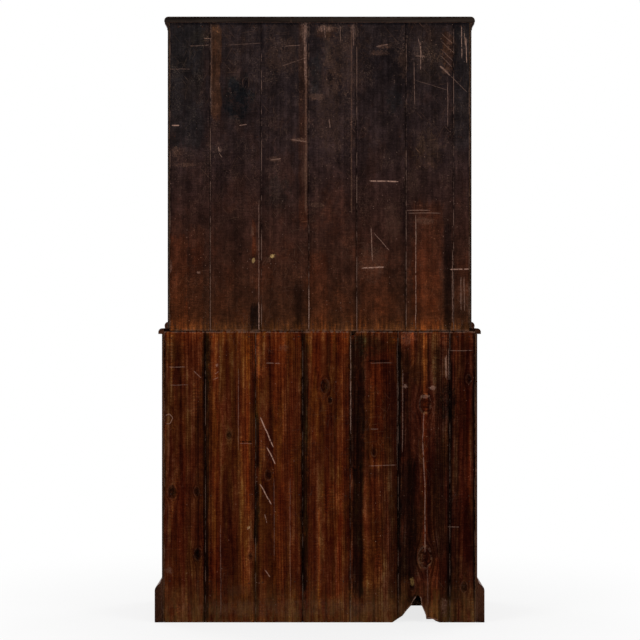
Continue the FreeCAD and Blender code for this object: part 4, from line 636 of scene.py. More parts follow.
@shared_group(
    "Board edge",
    {"Place": ORIGIN, "Low": 0.0, "High": 0.1, "End": 0.0},
    "Dirt", "Worn", "Worn End", "Seam",
)
def board_edge(nodes, place, low, high, end):
    """Dirt and wear along a board's two long edges, and wear and a dark seam at its end by the waist."""
    # In metres from the edge: where each starts to fade, and where it has gone.
    side_wear, end_wear, seam = (0.0012, 0.003), (0.0025, 0.007), (0.0008, 0.0024)
    least_dirt, further_dirt = 0.001, 0.03
    x = nodes.part(place, "X")
    off = nodes.maths("MINIMUM", x - low, high - x)
    from_end = nodes.maths("ABSOLUTE", nodes.part(place, "Z") - end)
    reach = nodes.lumps(place, (20, 20, 5), 0.3, 0.8, 4, 0.6) * further_dirt + least_dirt
    broken = nodes.lumps(place, (70, 70, 14), 0.46, 0.58, 5, 0.8)
    chipped = nodes.lumps(place, (80, 80, 60), 0.42, 0.58, 4, 0.75)
    return (
        nodes.fall(off, 0.0, reach),
        nodes.fall(off, *side_wear) * broken,
        nodes.fall(from_end, *end_wear) * chipped,
        nodes.fall(from_end, *seam) * nodes.lumps(place, 8, 0.4, 0.52, 3),
    )


@shared_group("Corner dirt", {"Place": ORIGIN, "Reach": 0.018}, "Mask")
def corner_dirt_and_shade(nodes, place, reach):
    """Darkening in corners and recesses that ambient occlusion finds: painted shade, and the dirt and dark
    polish that gather there.
    """
    is_open = nodes.value("ShaderNodeAmbientOcclusion", "AO", {"Distance": reach}, samples=RAY_SAMPLES)
    return nodes.fall(is_open, 0.35, 0.95) * nodes.lumps(place, 24, 0.2, 0.7, 4, 0.6)


@shared_group("Settled dust", {"Place": ORIGIN}, "Mask")
def settled_dust(nodes, place):
    """Dust on what faces up."""
    up = nodes.part(nodes.facing(), "Z")
    return nodes.rise(up, 0.4, 0.95) * nodes.lumps(place, 14, 0.3, 0.75, 5, 0.6)


# Materials. Each function gives what the sockets of its material's skin get.


def material_of(name, make, *details):
    """The material of that name, made when it is first asked for."""
    material = bpy.data.materials.get(name)
    if not material:
        material = bpy.data.materials.new(name)
        material.use_nodes = True
        nodes = Nodes(material.node_tree)
        nodes.feed(material.node_tree.nodes["Principled BSDF"].inputs, make(nodes, *details))
    return material


# Wood and worn name colours. Relief is a height, and the rest are shares.
Finish = namedtuple("Finish", "wood worn contrast wear dust roughness specular coat relief")

FINISHES = {
    "stained_pine": Finish("stain", "worn", 0.95, 0.75, 0.3, 0.42, 0.12, 0.05, 0.0003),
    "base_back_edges": Finish("base_edge", "worn", 1, 0.8, 0.2, 0.6, 0.01, 0, 0.0003),
    "top_back_edges": Finish("top_edge", "worn", 1, 0.7, 0.2, 0.6, 0.01, 0, 0.0003),
    "turned_pine": Finish("stain", "worn", 0.8, 0.9, 0.1, 0.3, 0.4, 0.3, 0.00015),
    "inside_pine": Finish("inside", "inside_late", 0.9, 0.4, 0.35, 0.62, 0.2, 0, 0.0003),
    "drawer_pine": Finish("drawer", "drawer_late", 0.85, 0.5, 0.25, 0.6, 0.2, 0, 0.0003),
}


def pine(nodes, finish):
    """Pine with rings, streaks and pores, rubbed edges, scuffs, dirt and painted shade in its corners, and
    dust.
    """
    early, late, worn = tone(finish.wood + "_early"), tone(finish.wood + "_late"), tone(finish.worn)
    place = nodes.grain_place()
    grain = pine_grain(nodes, place, sizes().ring)
    pattern = (grain.rings + nodes.rise(grain.streaks, 0.3, 0.7)) * (HALF * finish.contrast)
    patchy = nodes.noise(place, (22, 22, 8), 5, 0.65)
    pores = nodes.rise(grain.fibres, 0.56, 0.75)
    rubbed = edge_wear(nodes, place, sizes().wear)
    lines = scuffs(nodes, place)
    dusty = settled_dust(nodes, place)
    colour = nodes.blend(pattern, early, late)
    colour = nodes.blend(1, colour, nodes.ramp(grain.tone, (0.3, 0.6), (0.7, 1.3)), "MULTIPLY")
    colour = nodes.blend(1, colour, nodes.ramp(patchy, (0.35, 0.72), (0.65, 1.2)), "MULTIPLY")
    for mask, over in (
        (pores * 0.35, late),
        (rubbed * finish.wear, worn),
        (lines * (finish.wear * 0.6), worn),
        # Painted shade: a darkened ring colour laid where ambient occlusion finds corners and recesses,
        # together with their dirt.
        (corner_dirt_and_shade(nodes, place) * 0.75, times(0.3, late)),
        (dusty * finish.dust, tone("dust")),
    ):
        colour = nodes.blend(mask, colour, over)
    dull = nodes.maths("MAXIMUM", rubbed, dusty) * 0.25 + pores * 0.1
    return {
        "Base Color": colour,
        "Roughness": dull + finish.roughness,
        "Specular IOR Level": finish.specular,
        "Coat Weight": finish.coat,
        "Coat Roughness": 0.3,
        "Normal": nodes.bump(grain.rings * 0.5 - pores - lines, finish.relief),
    }


def wood(name):
    return material_of(name + "_wood", pine, FINISHES[name])


def lies_on(board, x, half_width, top, foot):
    """Whether a mark reaches a board."""
    low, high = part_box(board)
    left, right = on_back(x - half_width, foot), on_back(x + half_width, top)
    return right.x < high.x and left.x > low.x and left.z < high.z and right.z > low.z


TINTS = ("soot", "grey", "warm", "red", "yellow", "light")


class Coat:
    """The colour of a board while shades are laid over it."""

    def __init__(self, nodes, colour):
        self.nodes = nodes
        self.colour = colour

    def lay(self, name, mask, strength=1):
        """A tint multiplies what it covers, any other shade hides it."""
        over, how = (times(2, tone(name)), "MULTIPLY") if name in TINTS else (tone(name), "MIX")
        self.colour = self.nodes.blend(mask * strength, self.colour, over, how)


def share_of_height(nodes, board, place):
    """0 at the board's foot and 1 at its top."""
    low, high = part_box(board)
    feeds = {"Value": nodes.part(place, "Z"), "From Min": low.z, "From Max": high.z}
    return nodes.value("ShaderNodeMapRange", "Result", feeds)


def upper_coat(nodes, board, place, grain, texture, edge):
    """The upper back's colour: nearly black towards the top, browner towards the waist, and uneven."""
    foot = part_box(board)[0].z
    above_waist = (foot + 0.01, foot + 0.06)
    plain = nodes.ramp(
        share_of_height(nodes, board, place),
        (0, (70, 40, 22)),
        (0.03, (56, 30, 17)),
        (0.2, (53, 29, 20)),
        (0.38, (48, 29, 24)),
        (0.58, (41, 29, 28)),
        (0.78, (36, 27, 27)),
        (1, (37, 29, 29)),
    )
    mixed = grain.streaks * 0.14 + texture.clouds * 0.12 + texture.blotches * 0.24
    mixed = mixed + texture.mottle * 0.16 + texture.grit * 0.21 + texture.lines * 0.13
    uneven = nodes.rise(mixed, 0.41, 0.62)
    uneven = nodes.ramp(uneven, (0, 0.2), (0.25, 0.33), (HALF, 0.46), (0.75, 0.66), (1, 1))
    doubled = nodes.blend(1, plain, (2.0, 2.0, 2.0, 1.0), "MULTIPLY")
    coat = Coat(nodes, nodes.blend(1, doubled, uneven, "MULTIPLY"))
    stains = nodes.noise(place, (13, 13, 8), 5, 0.65)
    runs = nodes.lumps(place, (110, 110, 9), 0.42, 0.6, 4, 0.65)
    coat.lay("soot", nodes.fall(stains, 0.34, 0.48), 0.35)
    coat.lay("warm", nodes.rise(stains, 0.52, 0.64), 0.3)
    coat.lay("soot", edge.dirt, 0.5)
    coat.lay("light", runs * nodes.fall(nodes.part(place, "Z"), *above_waist))
    return coat


def lower_coat(nodes, board, place, grain, texture, edge):
    """Stain of the lower back: orange brown on some boards and dark on others, dusty at the foot."""
    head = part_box(board)[1].z
    below_waist, at_waist = (head - 0.24, head), (head - 0.06, head - 0.01)
    height = nodes.part(place, "Z")
    mixed = grain.streaks * 0.23 + texture.clouds * 0.27 + texture.blotches * 0.11
    mixed = mixed + texture.mottle * 0.14 + texture.grit * 0.13 + texture.lines * 0.08
    pattern = nodes.rise(mixed + (1 - grain.rings) * 0.04, 0.4, 0.605)
    light = nodes.ramp(
        pattern,
        (0, (25, 3, 1)),
        (0.12, (39, 9, 3)),
        (0.32, (50, 16, 5)),
        (HALF, (59, 22, 7)),
        (0.7, (68, 29, 11)),
        (0.87, (80, 41, 19)),
        (1, (100, 60, 36)),
    )
    dark = nodes.ramp(
        pattern,
        (0, (20, 2, 1)),
        (0.12, (26, 5, 2)),
        (0.32, (32, 9, 4)),
        (HALF, (41, 14, 7)),
        (0.7, (52, 21, 11)),
        (0.87, (66, 33, 20)),
        (1, (84, 53, 39)),
    )
    coat = Coat(nodes, nodes.blend(DARK_SHARES[board], light, dark))
    hue = nodes.noise(place, (32, 32, 4), 3, 0.6)
    ragged = nodes.lumps(place, (60, 60, 16), 0.3, 0.75, 5, 0.65)
    near_foot = nodes.fall(height, 0.01, 0.16)
    coat.lay("red", nodes.fall(hue, 0.36, 0.52), 0.4)
    coat.lay("yellow", nodes.rise(hue, 0.46, 0.6), 0.9)
    coat.lay("light", nodes.rise(height, *below_waist), 0.2)
    coat.lay("light", nodes.rise(height, *at_waist), 0.35)
    coat.lay("soot", edge.dirt, 0.85)
    coat.lay("light", near_foot, 0.15)
    coat.lay("dust", near_foot * ragged, 0.42)
    return coat


def bent_grain(nodes, board, place):
    """The grain's place, bent round the board's knots, and the knots."""
    along = nodes.grain_place()
    knots = []
    for knot in KNOTS:
        if lies_on(board, knot.x, knot.radius, knot.y - knot.radius, knot.y + knot.radius):
            made = board_knot(nodes, place, on_back(knot.x, knot.y), knot.radius * PIXEL)
            along = along + made.bend
            knots.append((knot, made))
    return along, knots


def add_marks(nodes, board, place, coat, dashes):
    """Lays the board's bands, patches and scratches; gives the scratches' mask."""
    broken = 0.3 + dashes * 0.9

    def lay_mark(mark, mask):
        coat.lay(mark.shade, mask * broken if mark.shade in ("worn", "pale") else mask, mark.strength)

    for band in BANDS:
        if lies_on(board, band.x, band.half_width, band.top, band.foot):
            head, foot = on_back(band.x, band.top), on_back(band.x, band.foot)
            half_width, ragged = band.half_width * PIXEL, band.ragged * PIXEL
            lay_mark(band, board_band(nodes, place, head.x, half_width, foot.z, head.z, ragged))
    for patch in PATCHES:
        if lies_on(board, patch.x, patch.across, patch.y - patch.up, patch.y + patch.up):
            size = (patch.across * PIXEL, 1, patch.up * PIXEL)
            lay_mark(patch, board_patch(nodes, place, on_back(patch.x, patch.y), size))
    cut = 0.0
    for scratch in SCRATCHES:
        ends = sorted((scratch.y, scratch.to_y))
        reach = abs(scratch.to_x - scratch.x) / 2 + scratch.width
        if lies_on(board, (scratch.x + scratch.to_x) / 2, reach, *ends):
            start, end = on_back(scratch.x, scratch.y), on_back(scratch.to_x, scratch.to_y)
            mask = board_scratch(nodes, place, start, end, scratch.width * PIXEL * HALF)
            cut = nodes.maths("MAXIMUM", cut, mask * scratch.strength)
    coat.lay("pale", cut, 0.9)
    return cut


# How strongly a board shows flecks, scuffs and saw marks, and wear along its sides and at the waist.
Wear = namedtuple("Wear", "flecks scuffs sawn sides end")
WEAR = {"upper": Wear(0.13, 0.35, 0.15, 0.35, 0.55), "lower": Wear(0.06, 0.2, 0.4, 0.2, 0.85)}


def back_board(nodes, board, tier):
    """The outer face of one board of the back, with its own marks."""
    upper = tier == "upper"
    wear = WEAR[tier]
    low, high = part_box(board)
    place = nodes.object_place()
    along, knots = bent_grain(nodes, board, place)
    grain = pine_grain(nodes, along, sizes().ring, 0.02)
    texture = board_texture(nodes, place)
    edge = board_edge(nodes, place, low.x, high.x, low.z if upper else high.z)
    coat = (upper_coat if upper else lower_coat)(nodes, board, place, grain, texture, edge)
    for knot, made in knots:
        rings = nodes.ramp(made.rings, (0, 0.6), (1, 1.2))
        ringed = nodes.blend(1, coat.colour, rings, "MULTIPLY")
        coat.colour = nodes.blend(made.halo, coat.colour, ringed)
        coat.lay("soot", made.core, knot.core)
        coat.lay("worn", made.rim, knot.rim)
    rubbed = rubbed_clusters(nodes, place)
    coat.lay("light", rubbed.mask, 0.9)
    if upper:
        # Painted shadow: a dark line along the top of each upper board, under the cornice.
        shadow_under_cornice = nodes.rise(nodes.part(place, "Z"), high.z - 0.011, high.z - 0.004)
        coat.lay("pale", rubbed.mask * share_of_height(nodes, board, place), 0.2)
        coat.lay("soot", shadow_under_cornice, 0.8)
    coat.lay("pale", flecks(nodes, place, wear.flecks), 0.4)
    lines = scuffs(nodes, place)
    coat.lay("worn", lines, wear.scuffs)
    coat.lay("light", texture.sawn, wear.sawn)
    cut = add_marks(nodes, board, place, coat, rubbed.dashes)
    coat.lay("pale", edge.worn, wear.sides)
    coat.lay("worn", edge.worn_end, wear.end)
    coat.lay("soot", edge.seam)
    relief = grain.rings * 0.8 + grain.streaks * 0.6 + texture.grit * 0.5 + texture.lines * 0.4
    return {
        "Base Color": coat.colour,
        "Roughness": 0.62 + grain.fibres * 0.2,
        "Specular IOR Level": 0.01,
        "Normal": nodes.bump(relief - (cut + lines), 0.0005),
    }


# How far brass is rubbed bright from an edge.
BRASS_WEAR = 0.0008


def aged_brass(nodes):
    """Brass that is bright where it is handled and dull elsewhere."""
    place = nodes.object_place()
    cloudy = nodes.noise(place, 60, 5, 0.62)
    pits = nodes.lumps(place, 600, 0.6, 0.72)
    dull = nodes.rise(cloudy, 0.4, 0.62)
    colour = nodes.blend(dull, tone("brass"), tone("patina"))
    colour = nodes.blend(edge_wear(nodes, place, BRASS_WEAR), colour, tone("brass"))
    return {
        "Base Color": nodes.blend(pits * HALF, colour, tone("iron")),
        "Metallic": 1,
        "Roughness": dull * 0.25 + pits * 0.2 + 0.26,
        "Normal": nodes.bump(cloudy - pits, 0.00008),
    }


def window_glass(nodes):
    """Old panes with a slight wave."""
    place = nodes.object_place()
    film = nodes.lumps(place, (18, 18, 9), 0.35, 0.8, 5, 0.65)
    return {
        "Base Color": nodes.blend(film, (0.97, 0.99, 0.98, 1), (0.86, 0.88, 0.84, 1)),
        "Roughness": 0.01 + film * 0.06,
        "Transmission Weight": 1,
        "Alpha": 0.4,
        "IOR": 1.45,
        "Normal": nodes.bump(nodes.noise(place, (5, 5, 9), 1), 0.002, 0.15),
    }


def rusty_iron(nodes):
    """Nail heads."""
    rust = nodes.noise(nodes.object_place(), 260, 4, 0.6)
    return {
        "Base Color": nodes.blend(nodes.rise(rust, 0.4, 0.65), tone("iron"), tone("rust")),
        "Roughness": HALF + rust * 0.4,
        "Specular IOR Level": 0.1,
        "Normal": nodes.bump(rust, 0.0003),
    }


def any_seen(nodes):
    """1 where the ray comes from the camera, a gloss or a glass, and 0 where it only lights."""
    path = nodes.add("ShaderNodeLightPath", {}).outputs
    seen = 0.0
    for kind in ("Camera", "Glossy", "Transmission"):
        seen = nodes.maths("MAXIMUM", seen, Value(nodes, path[f"Is {kind} Ray"]))
    return seen


def dark_floor(nodes, place):
    """The floor under the front of the base, which is dark behind the broken foot."""
    low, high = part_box("plinth_boards")
    x, y = nodes.part(place, "X"), nodes.part(place, "Y")
    end = on_back(PHOTO_MIDDLE, DARK_FLOOR_END).z
    eye = on_back(PHOTO_MIDDLE, PHOTO_SIZE / 2).z
    far = BACK_Y - stage_sizes().distance * end / (eye - end)
    within = nodes.fall(nodes.maths("ABSOLUTE", x), high.x - 0.03, high.x - 0.02)
    return within * nodes.rise(y, low.y + 0.01, low.y + 0.02) * nodes.fall(y, far - 0.004, far)


def studio_floor(nodes):
    """A pale floor that reads nearly white and keeps a soft shadow."""
    place = nodes.object_place()
    shown = nodes.rise(nodes.measured("LENGTH", place), 0.5, 1.9)
    share = any_seen(nodes) * (0.78 + shown * 0.22) * (1 - dark_floor(nodes, place))
    lit = Value(nodes, nodes.tree.nodes["Principled BSDF"].outputs["BSDF"])
    glow = nodes.value("ShaderNodeEmission", 0, {"Color": WHITE, "Strength": 1.0})
    mixed = nodes.value("ShaderNodeMixShader", 0, {"Fac": share, 1: lit, 2: glow})
    nodes.feed(nodes.tree.nodes["Material Output"].inputs, {"Surface": mixed})
    pale = tone("floor")
    return {
        "Base Color": nodes.blend(nodes.noise(place, 3, 3), pale, times(0.985, pale)),
        "Roughness": 0.9,
        "Specular IOR Level": 0.05,
    }


# Pieces.

ROUNDED_DIGITS = 6
FLAT_ANGLE = math.radians(0.4)
SHARP_ANGLE = math.radians(38)
SMOOTH_ANGLE = math.radians(20)
NAIL_SIDES, PEG_SIDES = 8, 10
# Where a board's pith may run, from the board's middle: across it, away from its face, and along it.
PITH_RANGES = ((-0.05, 0.05), (0.03, 0.07), (-5, 5))
# How far a nail may stand from its line, sideways and upwards.
NAIL_ASTRAY = (0.008, 0.004)
# How much of a stud's radius each of its two rims takes.
RIM_SHARE = 0.3
# A rail as tall as this gets two pegs at each end, at these shares of its height.
WIDE_RAIL = 0.06
WIDE_RAIL_SHARES = (0.28, 0.72)


def solids_of(node):
    """The points and triangles of each solid. A solid's triangles close before the next solid starts."""
    mesh = frame["nodes"][node].data
    found = []
    numbers, triangles, open_edges = {}, [], set()
    for polygon in mesh.polygons:
        corners = [mesh.vertices[index].co for index in polygon.vertices]
        spots = [tuple(round(part, ROUNDED_DIGITS) for part in corner) for corner in corners]
        if len(set(spots)) < len(spots):
            continue
        triangles.append([numbers.setdefault(spot, len(numbers)) for spot in spots])
        for start, end in zip(spots, spots[1:] + spots[:1]):
            if (end, start) in open_edges:
                open_edges.remove((end, start))
            else:
                open_edges.add((start, end))
        if not open_edges:
            found.append((list(numbers), triangles))
            numbers, triangles = {}, []
    return found


def box_round(spots):
    """The lowest and the highest corner of the box round some points."""
    return [[limit(spot[axis] for spot in spots) for axis in range(3)] for limit in (min, max)]


def boxes_of(node):
    """The box of each of the node's solids."""
    return [box_round(spots) for spots, _ in solids_of(node)]


def select_only(*pieces):
    bpy.ops.object.select_all(action="DESELECT")
    for piece in pieces:
        piece.select_set(True)
    bpy.context.view_layer.objects.active = pieces[0]


def islands(mesh):
    """The mesh's vertices, in one list for each part that hangs together."""
    leader = list(range(len(mesh.vertices)))

    def lead(index):
        while leader[index] != index:
            leader[index] = leader[leader[index]]
            index = leader[index]
        return index

    for edge in mesh.edges:
        one, other = (lead(index) for index in edge.vertices)
        leader[one] = other
    groups = {}
    for index in range(len(leader)):
        groups.setdefault(lead(index), []).append(index)
    return list(groups.values())


def write_grain(piece, chance):
    """Gives each board of a piece its own place in the wood, with the grain along its longest side."""
    mesh = piece.data
    grain = mesh.attributes.new(GRAIN, "FLOAT_VECTOR", "POINT")
    for island in islands(mesh):
        low, high = (Vector(corner) for corner in box_round([mesh.vertices[index].co for index in island]))
        thin, wide, long = sorted(range(3), key=lambda axis: (high - low)[axis])
        middle = (low + high) / 2
        pith = Vector([chance.uniform(*limits) for limits in PITH_RANGES])
        for index in island:
            spot = mesh.vertices[index].co - middle
            grain.data[index].vector = (spot[wide] + pith.x, spot[thin] + pith.y, spot[long] + pith.z)


def worn_copy(node, arris, chance, planed):
    """A copy of a CAD node with its square edges rounded and its back face planed down."""
    points, faces = [], []
    for spots, triangles in solids_of(node):
        start = len(points)
        points += [(x, min(y, BACK_Y - planed), z) for x, y, z in spots]
        faces += [[start + index for index in triangle] for triangle in triangles]
    mesh = bpy.data.meshes.new("worn_" + node)
    mesh.from_pydata(points, [], faces)
    piece = bpy.data.objects.new("worn_" + node, mesh)
    bpy.context.scene.collection.objects.link(piece)
    select_only(piece)
    bpy.ops.object.mode_set(mode="EDIT")
    bpy.ops.mesh.select_mode(type="EDGE")
    bpy.ops.mesh.select_all(action="SELECT")
    bpy.ops.mesh.dissolve_limited(angle_limit=FLAT_ANGLE)
    bpy.ops.mesh.select_all(action="DESELECT")
    bpy.ops.mesh.edges_select_sharp(sharpness=SHARP_ANGLE)
    bpy.ops.mesh.bevel(offset=arris, segments=2, affect="EDGES", clamp_overlap=True)
    bpy.ops.object.mode_set(mode="OBJECT")
    bpy.ops.object.shade_smooth_by_angle(angle=SMOOTH_ANGLE)
    write_grain(piece, chance)
    return piece


def settle(piece, node):
    """Lets a piece ride with the body of its CAD node."""
    cad = frame["nodes"][node]
    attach(piece, cad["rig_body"])


def dress(node, arris, *materials, choose=None, planed=0):
    """Replaces a CAD node by a worn copy. What choose gives for a face is the number of its material."""
    piece = worn_copy(node, arris, random.Random(node), planed)
    for material in materials:
        piece.data.materials.append(material)
    if choose:
        for polygon in piece.data.polygons:
            polygon.material_index = int(choose(polygon.normal, polygon.center))
    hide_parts(node)
    settle(piece, node)
    return piece


def dress_all(names, arris, *materials, choose=None):
    for node in names:
        dress(node, arris, *materials, choose=choose)


def paint_node(node, material):
    """Gives a CAD node a better material."""
    for place in frame["nodes"][node].material_slots:
        place.material = material


class DRESSER_OT_back_boards(bpy.types.Operator):
    """Dress the fourteen boards of the back, each with its own grain, streaks and scratches"""

    bl_idname = "dresser.back_boards"
    bl_label = "Back boards"

    def execute(self, context):
        def by_front(normal, centre):
            return normal.y < -HALF

        for tier, boards in BOARDS.items():
            for board in boards:
                finish = material_of(board + "_wood", back_board, board, tier)
                planed = sizes().proud_top
                dress(board, sizes().fine_arris, finish, wood("inside_pine"), choose=by_front, planed=planed)
        return {"FINISHED"}


class DRESSER_OT_case(bpy.types.Operator):
    """Dress the outside of the case: sides, frames, top boards and mouldings"""

    bl_idname = "dresser.case"
    bl_label = "Case"

    def execute(self, context):
        stained, inside = wood("stained_pine"), wood("inside_pine")
        upper = (sizes().arris, stained, wood("top_back_edges"), inside)
        base = (sizes().arris, stained, wood("base_back_edges"), inside)

        def by_back(normal, centre):
            return normal.y > HALF

        def by_inside(normal, centre):
            faces_in = normal.x * centre.x < 0 and abs(normal.x) > HALF
            return 2 if faces_in else by_back(normal, centre)

        dress_all(("cornice_board", "cornice_moulding"), *upper, choose=by_back)
        dress_all(("waist_moulding", "plinth_boards", "base_top"), *base, choose=by_back)
        dress_all(("upper_face_frame", "base_face_frame"), sizes().arris, stained, inside, choose=by_back)
        for side in ("left", "right"):
            dress("upper_side_" + side, *upper, choose=by_inside)
            dress("base_side_" + side, *base, choose=by_inside)
        return {"FINISHED"}


class DRESSER_OT_inside(bpy.types.Operator):
    """Dress the boards inside: floors, shelves, runners, kickers and glue blocks"""

    bl_idname = "dresser.inside"
    bl_label = "Inside"

    def execute(self, context):
        boards = ("plate_cupboard_floor", "plate_shelves", "cupboard_floor", "cupboard_shelf")
        rails = ("drawer_runners", "drawer_kickers", "glue_blocks")
        dress_all(boards + rails, sizes().arris, wood("inside_pine"))
        return {"FINISHED"}


class DRESSER_OT_doors(bpy.types.Operator):
    """Dress the four doors: frames, glazing bars, panels and panes"""

    bl_idname = "dresser.doors"
    bl_label = "Doors"

    def execute(self, context):
        stained = wood("stained_pine")
        for side in ("left", "right"):
            dress_all((f"upper_{side}_door_frame", f"lower_{side}_door_frame"), sizes().arris, stained)
            inner = (f"upper_{side}_door_glazing_bars", f"lower_{side}_door_panel")
            dress_all(inner, sizes().fine_arris, stained)
            paint_node(f"upper_{side}_door_panes", material_of("window_glass_pane", window_glass))
        return {"FINISHED"}


class DRESSER_OT_drawers(bpy.types.Operator):
    """Dress the two drawers and their turned knobs"""

    bl_idname = "dresser.drawers"
    bl_label = "Drawers"

    def execute(self, context):
        for side in ("left", "right"):
            dress(f"{side}_drawer_front", sizes().arris, wood("stained_pine"))
            dress(f"{side}_drawer_box", sizes().fine_arris, wood("drawer_pine"))
            dress(f"{side}_drawer_knobs", sizes().fine_arris, wood("turned_pine"))
        return {"FINISHED"}


class DRESSER_OT_brass(bpy.types.Operator):
    """Give the hinges, catches and bolts their brass"""

    bl_idname = "dresser.brass"
    bl_label = "Brass"

    def execute(self, context):
        for node, cad in frame["nodes"].items():
            if cad.data.materials[0].name == "aged_brass":
                paint_node(node, material_of("aged_brass_metal", aged_brass))
        return {"FINISHED"}


def add_studs(name, spots, facing, radius, sides, material, node):
    """Low domed heads at their spots, as one piece that faces backwards (1) or forwards (-1)."""
    rim, top = sizes().proud, sizes().proud_top
    depth = 4 * rim
    turn = (-facing * math.pi / 2, 0, 0)
    studs = []
    for spot in spots:
        bpy.ops.object.select_all(action="DESELECT")
        centre = spot + Vector((0, facing * (rim - depth / 2), 0))
        bpy.ops.mesh.primitive_cylinder_add(
            vertices=sides, radius=radius, depth=depth, location=centre, rotation=turn
        )
        stud = bpy.context.object
        bpy.ops.object.mode_set(mode="EDIT")
        bpy.ops.mesh.select_all(action="DESELECT")
        bpy.ops.object.mode_set(mode="OBJECT")
        for polygon in stud.data.polygons:
            polygon.select = polygon.normal.z > HALF
        bpy.ops.object.mode_set(mode="EDIT")
        bpy.ops.mesh.select_mode(type="FACE")
        for lift in (0, top - rim):
            bpy.ops.mesh.inset(thickness=radius * RIM_SHARE, depth=lift)
        bpy.ops.object.mode_set(mode="OBJECT")
        studs.append(stud)
    select_only(*studs)
    bpy.ops.object.join()
    piece = bpy.context.object
    bpy.ops.object.transform_apply(location=True, rotation=True, scale=True)
    piece.name = name
    bpy.ops.object.shade_smooth_by_angle(angle=SMOOTH_ANGLE)
    write_grain(piece, random.Random(name))
    piece.data.materials.append(material)
    settle(piece, node)
    return piece


class DRESSER_OT_nails(bpy.types.Operator):
    """Nail the back boards to the boards behind them"""

    bl_idname = "dresser.nails"
    bl_label = "Nails"

    def execute(self, context):
        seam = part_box("upper_back_board_1")[0].z
        levels = [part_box(board)[0].z - sizes().nail_inset / 2 for board in ("base_top", "cornice_board")]
        for node in ("plate_shelves", "plate_cupboard_floor", "cupboard_floor", "cupboard_shelf"):
            levels += [(low[2] + high[2]) / 2 for low, high in boxes_of(node)]
        iron = material_of("rusty_iron_metal", rusty_iron)
        for tier, boards in BOARDS.items():
            chance = random.Random(tier)
            spots = []
            for board in boards:
                low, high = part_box(board)
                for level in levels:
                    if (level > seam) != (tier == "upper"):
                        continue
                    for x in (low.x + sizes().nail_inset, high.x - sizes().nail_inset):
                        across, up = (chance.uniform(-reach, reach) for reach in NAIL_ASTRAY)
                        spots.append(Vector((x + across, BACK_Y - sizes().proud_top, level + up)))
            add_studs(f"{tier}_back_nails", spots, 1, sizes().nail_radius, NAIL_SIDES, iron, boards[0])
        return {"FINISHED"}


def peg_spots(node):
    """Spots at both ends of each rail of a frame: one in a narrow rail, two in a wide one."""
    boxes = boxes_of(node)
    front = min(low[1] for low, _ in boxes)
    spots = []
    for low, high in boxes:
        tall = high[2] - low[2]
        if high[0] - low[0] < tall:
            continue
        for share in (HALF,) if tall < WIDE_RAIL else WIDE_RAIL_SHARES:
            for x in (low[0] + sizes().peg_inset, high[0] - sizes().peg_inset):
                spots.append(Vector((x, front, low[2] + share * tall)))
    return spots


class DRESSER_OT_pegs(bpy.types.Operator):
    """Peg the tenons of the face frames and the doors"""

    bl_idname = "dresser.pegs"
    bl_label = "Pegs"

    def execute(self, context):
        frames = ["upper_face_frame", "base_face_frame"]
        frames += [f"{tier}_{side}_door_frame" for tier in ("upper", "lower") for side in ("left", "right")]
        stained = wood("stained_pine")
        for node in frames:
            add_studs(node + "_pegs", peg_spots(node), -1, sizes().peg_radius, PEG_SIDES, stained, node)
        return {"FINISHED"}


# Each lamp's side, across and to the back or front, and its share of the power.
LAMPS = ((1, 1, 1.15), (-1, 1, 0.95), (1, -1, 0.95), (-1, -1, 1.05))


class DRESSER_OT_stage(bpy.types.Operator):
    """Make the floor, the light and the camera that looks straight at the back"""

    bl_idname = "dresser.stage"
    bl_label = "Stage"

    def execute(self, context):
        scene = context.scene
        scene.view_settings.view_transform = "Standard"
        make_floor()
        make_world(scene)
        for x, y, share in LAMPS:
            make_lamp(x, y, share)
        make_camera(scene)
        return {"FINISHED"}


def make_floor():
    bpy.ops.object.select_all(action="DESELECT")
    bpy.ops.mesh.primitive_plane_add(size=stage_sizes().floor_size)
    floor = bpy.context.object
    floor.name = "studio_floor"
    floor.data.materials.append(material_of("studio_floor_paint", studio_floor))


def make_world(scene):
    """White where it is seen, and a plain even light elsewhere."""
    world = bpy.data.worlds.new("studio")
    scene.world = world
    world.use_nodes = True
    nodes = Nodes(world.node_tree)
    ambient = stage_sizes().ambient
    strength = any_seen(nodes) * (1 - ambient) + ambient
    nodes.feed(world.node_tree.nodes["Background"].inputs, {"Color": WHITE, "Strength": strength})


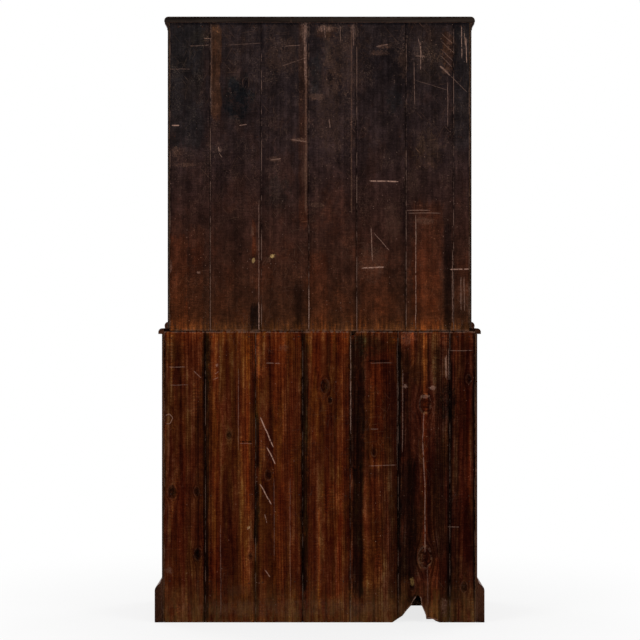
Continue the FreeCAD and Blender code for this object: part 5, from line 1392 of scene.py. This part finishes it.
def make_lamp(x, y, share):
    """A broad lamp that looks at the middle of the dresser."""
    stage = stage_sizes()
    spot = Vector((x * stage.lamp_distance, y * stage.lamp_distance, stage.lamp_height))
    lamp = bpy.data.lights.new("studio_lamp", "AREA")
    lamp.energy = stage.lamp_power * share
    lamp.size = stage.lamp_size
    holder = bpy.data.objects.new("studio_lamp", lamp)
    bpy.context.scene.collection.objects.link(holder)
    holder.location = spot
    aim = Vector((0, 0, CAD_BOX[1].z / 2)) - spot
    holder.rotation_euler = aim.to_track_quat("-Z", "Y").to_euler()


def make_camera(scene):
    """Straight behind the dresser, at the height of the middle of the photo."""
    camera = bpy.data.cameras.new("camera")
    middle = PHOTO_SIZE / 2
    camera.sensor_width = 36
    camera.lens = camera.sensor_width * stage_sizes().distance / (PHOTO_SIZE * PIXEL)
    holder = bpy.data.objects.new("camera", camera)
    scene.collection.objects.link(holder)
    holder.location = on_back(middle, middle) + Vector((0, stage_sizes().distance, 0))
    holder.rotation_euler = (math.pi / 2, 0, math.pi)
    scene.camera = holder


STEPS = (
    DRESSER_OT_stage,
    DRESSER_OT_back_boards,
    DRESSER_OT_case,
    DRESSER_OT_inside,
    DRESSER_OT_doors,
    DRESSER_OT_drawers,
    DRESSER_OT_brass,
    DRESSER_OT_nails,
    DRESSER_OT_pegs,
)


class DRESSER_PT_panel(bpy.types.Panel):
    """Sizes, colours and steps of the dresser's finish"""

    bl_label = "Dresser"
    bl_space_type = "VIEW_3D"
    bl_region_type = "UI"
    bl_category = "Dresser"

    def draw(self, context):
        scene = context.scene
        for settings in (scene.dresser_sizes, scene.dresser_stage, scene.dresser_colours):
            box = self.layout.box()
            for name in settings.__annotations__:
                box.prop(settings, name)
        for step in STEPS:
            self.layout.operator(step.bl_idname)


SETTINGS = {
    "dresser_colours": DresserColours,
    "dresser_sizes": DresserSizes,
    "dresser_stage": DresserStage,
}
CLASSES = (*SETTINGS.values(), *STEPS, DRESSER_PT_panel)


def register():
    for item in CLASSES:
        bpy.utils.register_class(item)
    for name, group in SETTINGS.items():
        setattr(bpy.types.Scene, name, bpy.props.PointerProperty(type=group))


def unregister():
    for name in SETTINGS:
        delattr(bpy.types.Scene, name)
    for item in reversed(CLASSES):
        bpy.utils.unregister_class(item)


def main():
    register()
    for step in STEPS:
        getattr(bpy.ops.dresser, step.bl_idname.removeprefix("dresser."))()


if __name__ == "__main__":
    main()
